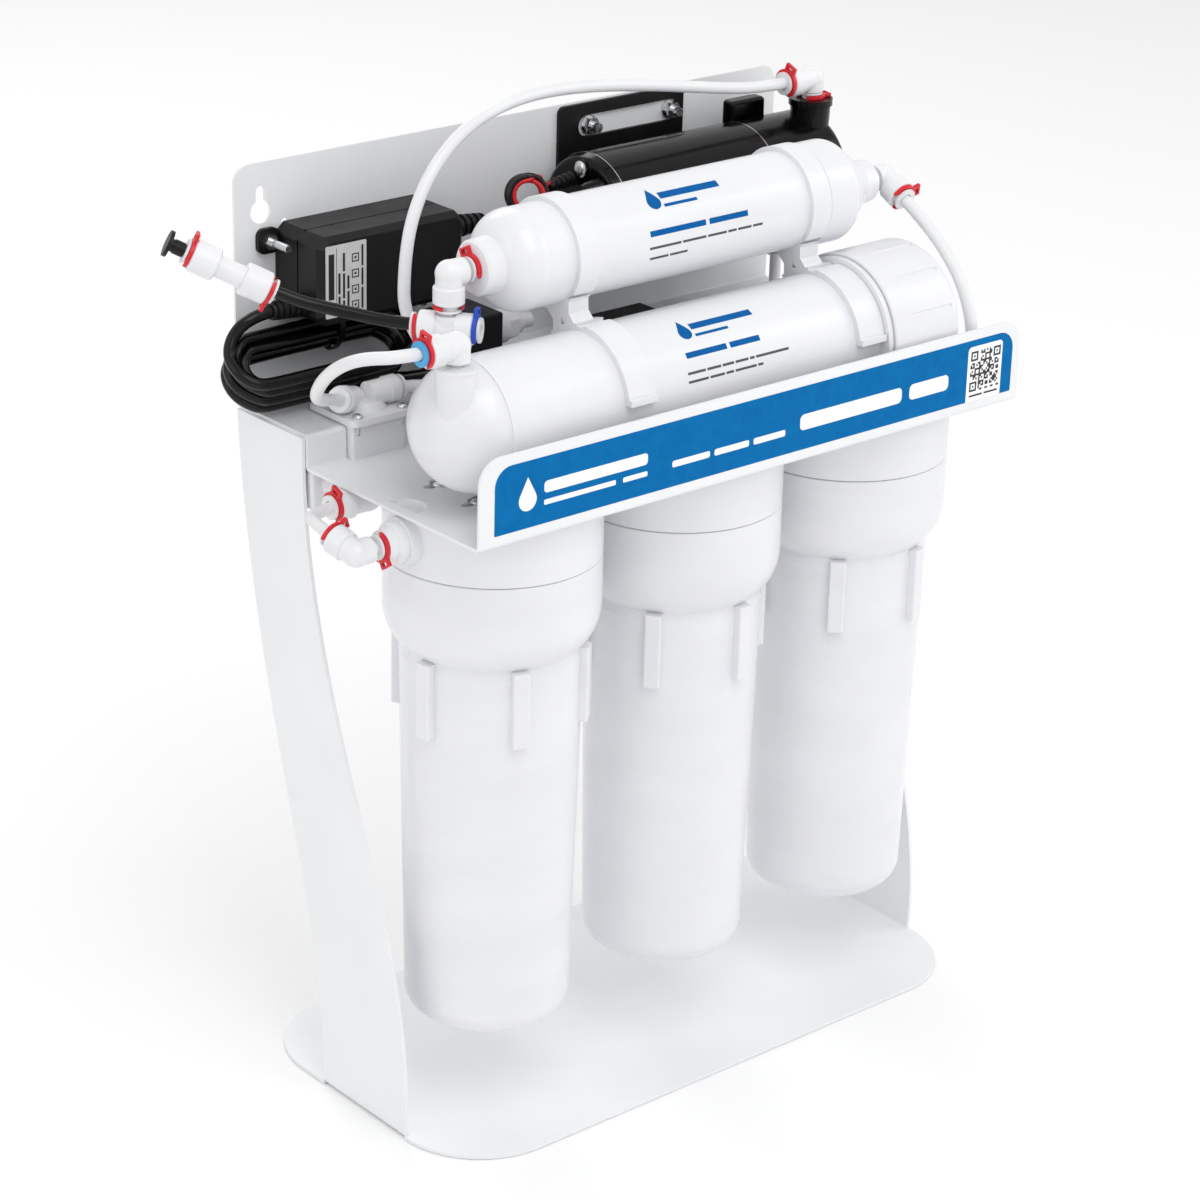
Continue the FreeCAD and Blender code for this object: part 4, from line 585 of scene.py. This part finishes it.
foil = bmesh.new()
slab(foil, rounded(-153.4, -128.4, 408.6, 445.8, (0.8,) * 4), on_adapter, FILM)
piece("adapter_label", foil, LABEL_GREY, "stand")
marks = bmesh.new()
for u0, u1, v0, v1 in ((-151.6, -148.2, 411.0, 416.5), (-151.6, -148.2, 418.0, 441.5),
                       (-146.9, -146.6, 410.0, 444.2),
                       (-145.7, -144.4, 410.6, 419.0), (-145.7, -144.4, 420.2, 431.0),
                       (-142.9, -141.6, 410.6, 416.5), (-142.9, -141.6, 417.6, 430.5), (-142.9, -141.6, 431.6, 441.0),
                       (-140.2, -138.9, 410.6, 421.0), (-140.2, -138.9, 422.2, 429.0),
                       (-131.5, -130.3, 410.6, 421.5), (-131.5, -130.3, 422.6, 431.5), (-131.5, -130.3, 432.6, 443.5)):
    slab(marks, [(u0, v0), (u1, v0), (u1, v1), (u0, v1)], on_adapter, INK, FILM)
for v in (413.2, 421.2, 429.4, 437.6):
    outer, inner = 2.2, 1.6
    for u0, u1, v0, v1 in ((-outer, outer, -outer, -inner), (-outer, outer, inner, outer),
                           (-outer, -inner, -inner, inner), (inner, outer, -inner, inner), (-0.6, 0.6, -0.6, 0.6)):
        slab(marks, [(u - 135.2, w + v) for u, w in ((u0, v0), (u1, v0), (u1, v1), (u0, v1))], on_adapter, INK, FILM)
piece("adapter_label_marks", marks, PRINT_BLACK, "stand")

# ---- small hardware -----------------------------------------------------------------------------
PUMP_AXIS = Vector((0, 62.0, 432.4))
END_SCREW_ANGLES = (math.radians(88), math.radians(268))
END_SCREWS = [PUMP_AXIS + Vector((12.5, math.cos(a) * 25.5, math.sin(a) * 25.5)) for a in END_SCREW_ANGLES]
seams = bmesh.new()
for x in (19.0, 123.85):
    hoop(seams, ((-0.22, 32.2), (0.22, 32.2), (0.22, 33.04), (-0.22, 33.04)), PUMP_AXIS + X * x, X, 96)
piece("pump_seam_rings", seams, LOOKS["steel"], "stand", 30)

screws = bmesh.new()
for place in END_SCREWS:
    turned(screws, ((0.0, 0.0), (0.0, 4.4), (1.0, 4.4), (1.7, 3.7), (2.1, 2.6), (2.2, 1.5), (1.0, 0.8), (0.9, 0.0)),
           place, -X, 40)
    for turn in (0.5, 0.5 + math.pi / 2):
        arm = Vector((0, math.cos(turn), math.sin(turn)))
        wide = arm.cross(X)
        for side in (-1, 1):
            box = [place - X * 2.16 + arm * (a * 2.1) + wide * (side * w) for a, w in
                   ((-1, 0.30), (1, 0.30), (1, 0.62), (-1, 0.62))]
            low = [screws.verts.new(p * MM) for p in box]
            high = [screws.verts.new((p - X * 0.22) * MM) for p in box]
            screws.faces.new(low)
            screws.faces.new(high)
            for k in range(4):
                screws.faces.new((low[k], low[(k + 1) % 4], high[(k + 1) % 4], high[k]))
piece("pump_end_screws", screws, LOOKS["steel"], "stand", 35)

# Ribbed boot where the pump's leads enter the motor.
BOOT_RIBS = 5
boot_length = (BOOT_TIP - BOOT_BASE).length
boot_profile = [(-1.0, 0.0), (-1.0, 4.3), (2.0, 4.2)]
for k in range(BOOT_RIBS):
    start = 2.0 + (boot_length - 3.0) * k / BOOT_RIBS
    radius = 4.1 - 1.2 * k / BOOT_RIBS
    boot_profile += [(start + 0.2, radius - 0.8), (start + 1.5, radius - 0.85), (start + 1.7, radius),
                     (start + 3.5, radius - 0.25)]
boot_profile += [(boot_length, 2.7), (boot_length, 0.0)]
boot = bmesh.new()
turned(boot, boot_profile, BOOT_BASE, BOOT_TIP - BOOT_BASE, 40)
piece("pump_lead_boot", boot, LOOKS["rubber_black"], "stand", 35)


def band(mesh, centre, wide, deep, normal, a, b, width, thick, steps=56):
    """Adds a flat strap bent round an oval bundle."""
    rings = []
    for k in range(steps):
        t = math.tau * k / steps
        c, s = math.cos(t), math.sin(t)
        direction = wide * (math.copysign(abs(c) ** 0.85, c) * a) + deep * (math.copysign(abs(s) ** 0.85, s) * b)
        out = direction.normalized()
        rings.append([mesh.verts.new((centre + direction + out * h + normal * w) * MM)
                      for h, w in ((0, -width / 2), (0, width / 2), (thick, width / 2), (thick, -width / 2))])
    for k in range(steps):
        one, two = rings[k], rings[(k + 1) % steps]
        for j in range(4):
            n = (j + 1) % 4
            mesh.faces.new((one[j], one[n], two[n], two[j]))


tie = bmesh.new()
TIE_X = -133.0
tie_centre = HANK_MIDDLE + HANK_ACROSS * 13.0 - HANK_OUT * 3.2 + X * TIE_X
band(tie, tie_centre, HANK_ACROSS, HANK_OUT, X, 6.6, 10.2, 3.2, 1.1)
turned(tie, ((-2.4, 0.0), (-2.4, 3.0), (2.4, 3.0), (2.4, 0.0)), tie_centre + HANK_ACROSS * 7.8, X, 4)
piece("hank_tie", tie, LOOKS["rubber_black"], "stand", 40)


def repaint(node, material, chosen):
    """Gives the faces of a CAD node that chosen(centre in mm) picks another material."""
    data = frame["nodes"][node].data
    data.materials.append(material)
    index = len(data.materials) - 1
    for face in data.polygons:
        if chosen(face.center * 1000.0):
            face.material_index = index


TANK_MOUTH, PERMEATE_MOUTH = Vector((-133.7, -32.5, 424.5)), Vector((-187.0, -63.1, 431.9))
repaint("locking_clips", CLIP_BLUE, lambda p: (p - TANK_MOUTH).length < 12.0)
repaint("collets", COLLAR_BLUE, lambda p: (p - PERMEATE_MOUTH).length < 8.0)
repaint("pressure_switch", LOOKS["fitting_white"], lambda p: p.x > -50.0 and p.z > 370.0)

# ---- floor and light ----------------------------------------------------------------------------
floor_mesh = bmesh.new()
bmesh.ops.create_grid(floor_mesh, x_segments=1, y_segments=1, size=6.0)
floor_data = bpy.data.meshes.new("floor")
floor_mesh.to_mesh(floor_data)
floor_mesh.free()
floor = bpy.data.objects.new("floor", floor_data)
bpy.context.scene.collection.objects.link(floor)
floor.location.z = -0.0004
floor_look = Shader("floor_pale", rgb(250, 250, 250), 0.65)
floor_data.materials.append(floor_look.material)

world = bpy.data.worlds.new("studio")
bpy.context.scene.world = world
world.use_nodes = True
world.node_tree.nodes["Background"].inputs["Color"].default_value = (1.0, 1.0, 1.0, 1.0)
world.node_tree.nodes["Background"].inputs["Strength"].default_value = 0.77


def area_light(name, place, target, size, power):
    data = bpy.data.lights.new(name, "AREA")
    data.shape, data.size, data.size_y = "RECTANGLE", size[0], size[1]
    data.energy = power
    obj = bpy.data.objects.new(name, data)
    bpy.context.scene.collection.objects.link(obj)
    obj.location = place
    obj.rotation_mode = "QUATERNION"
    obj.rotation_quaternion = (Vector(target) - Vector(place)).to_track_quat("-Z", "Y")


area_light("key", (-0.5, -2.1, 2.3), (0, 0, 0.25), (1.5, 1.5), 12)
area_light("side", (2.1, -1.2, 1.3), (0, 0, 0.25), (0.9, 1.8), 9)
area_light("fill", (-2.4, 0.4, 1.6), (0, 0, 0.3), (1.2, 1.8), 6)
area_light("rear", (0.6, 2.2, 1.9), (0, 0, 0.3), (1.6, 1.2), 12)
area_light("top", (-0.3, -0.9, 2.2), (0, 0.1, 0.46), (1.2, 0.8), 7)
bpy.context.scene.view_settings.view_transform = "Standard"
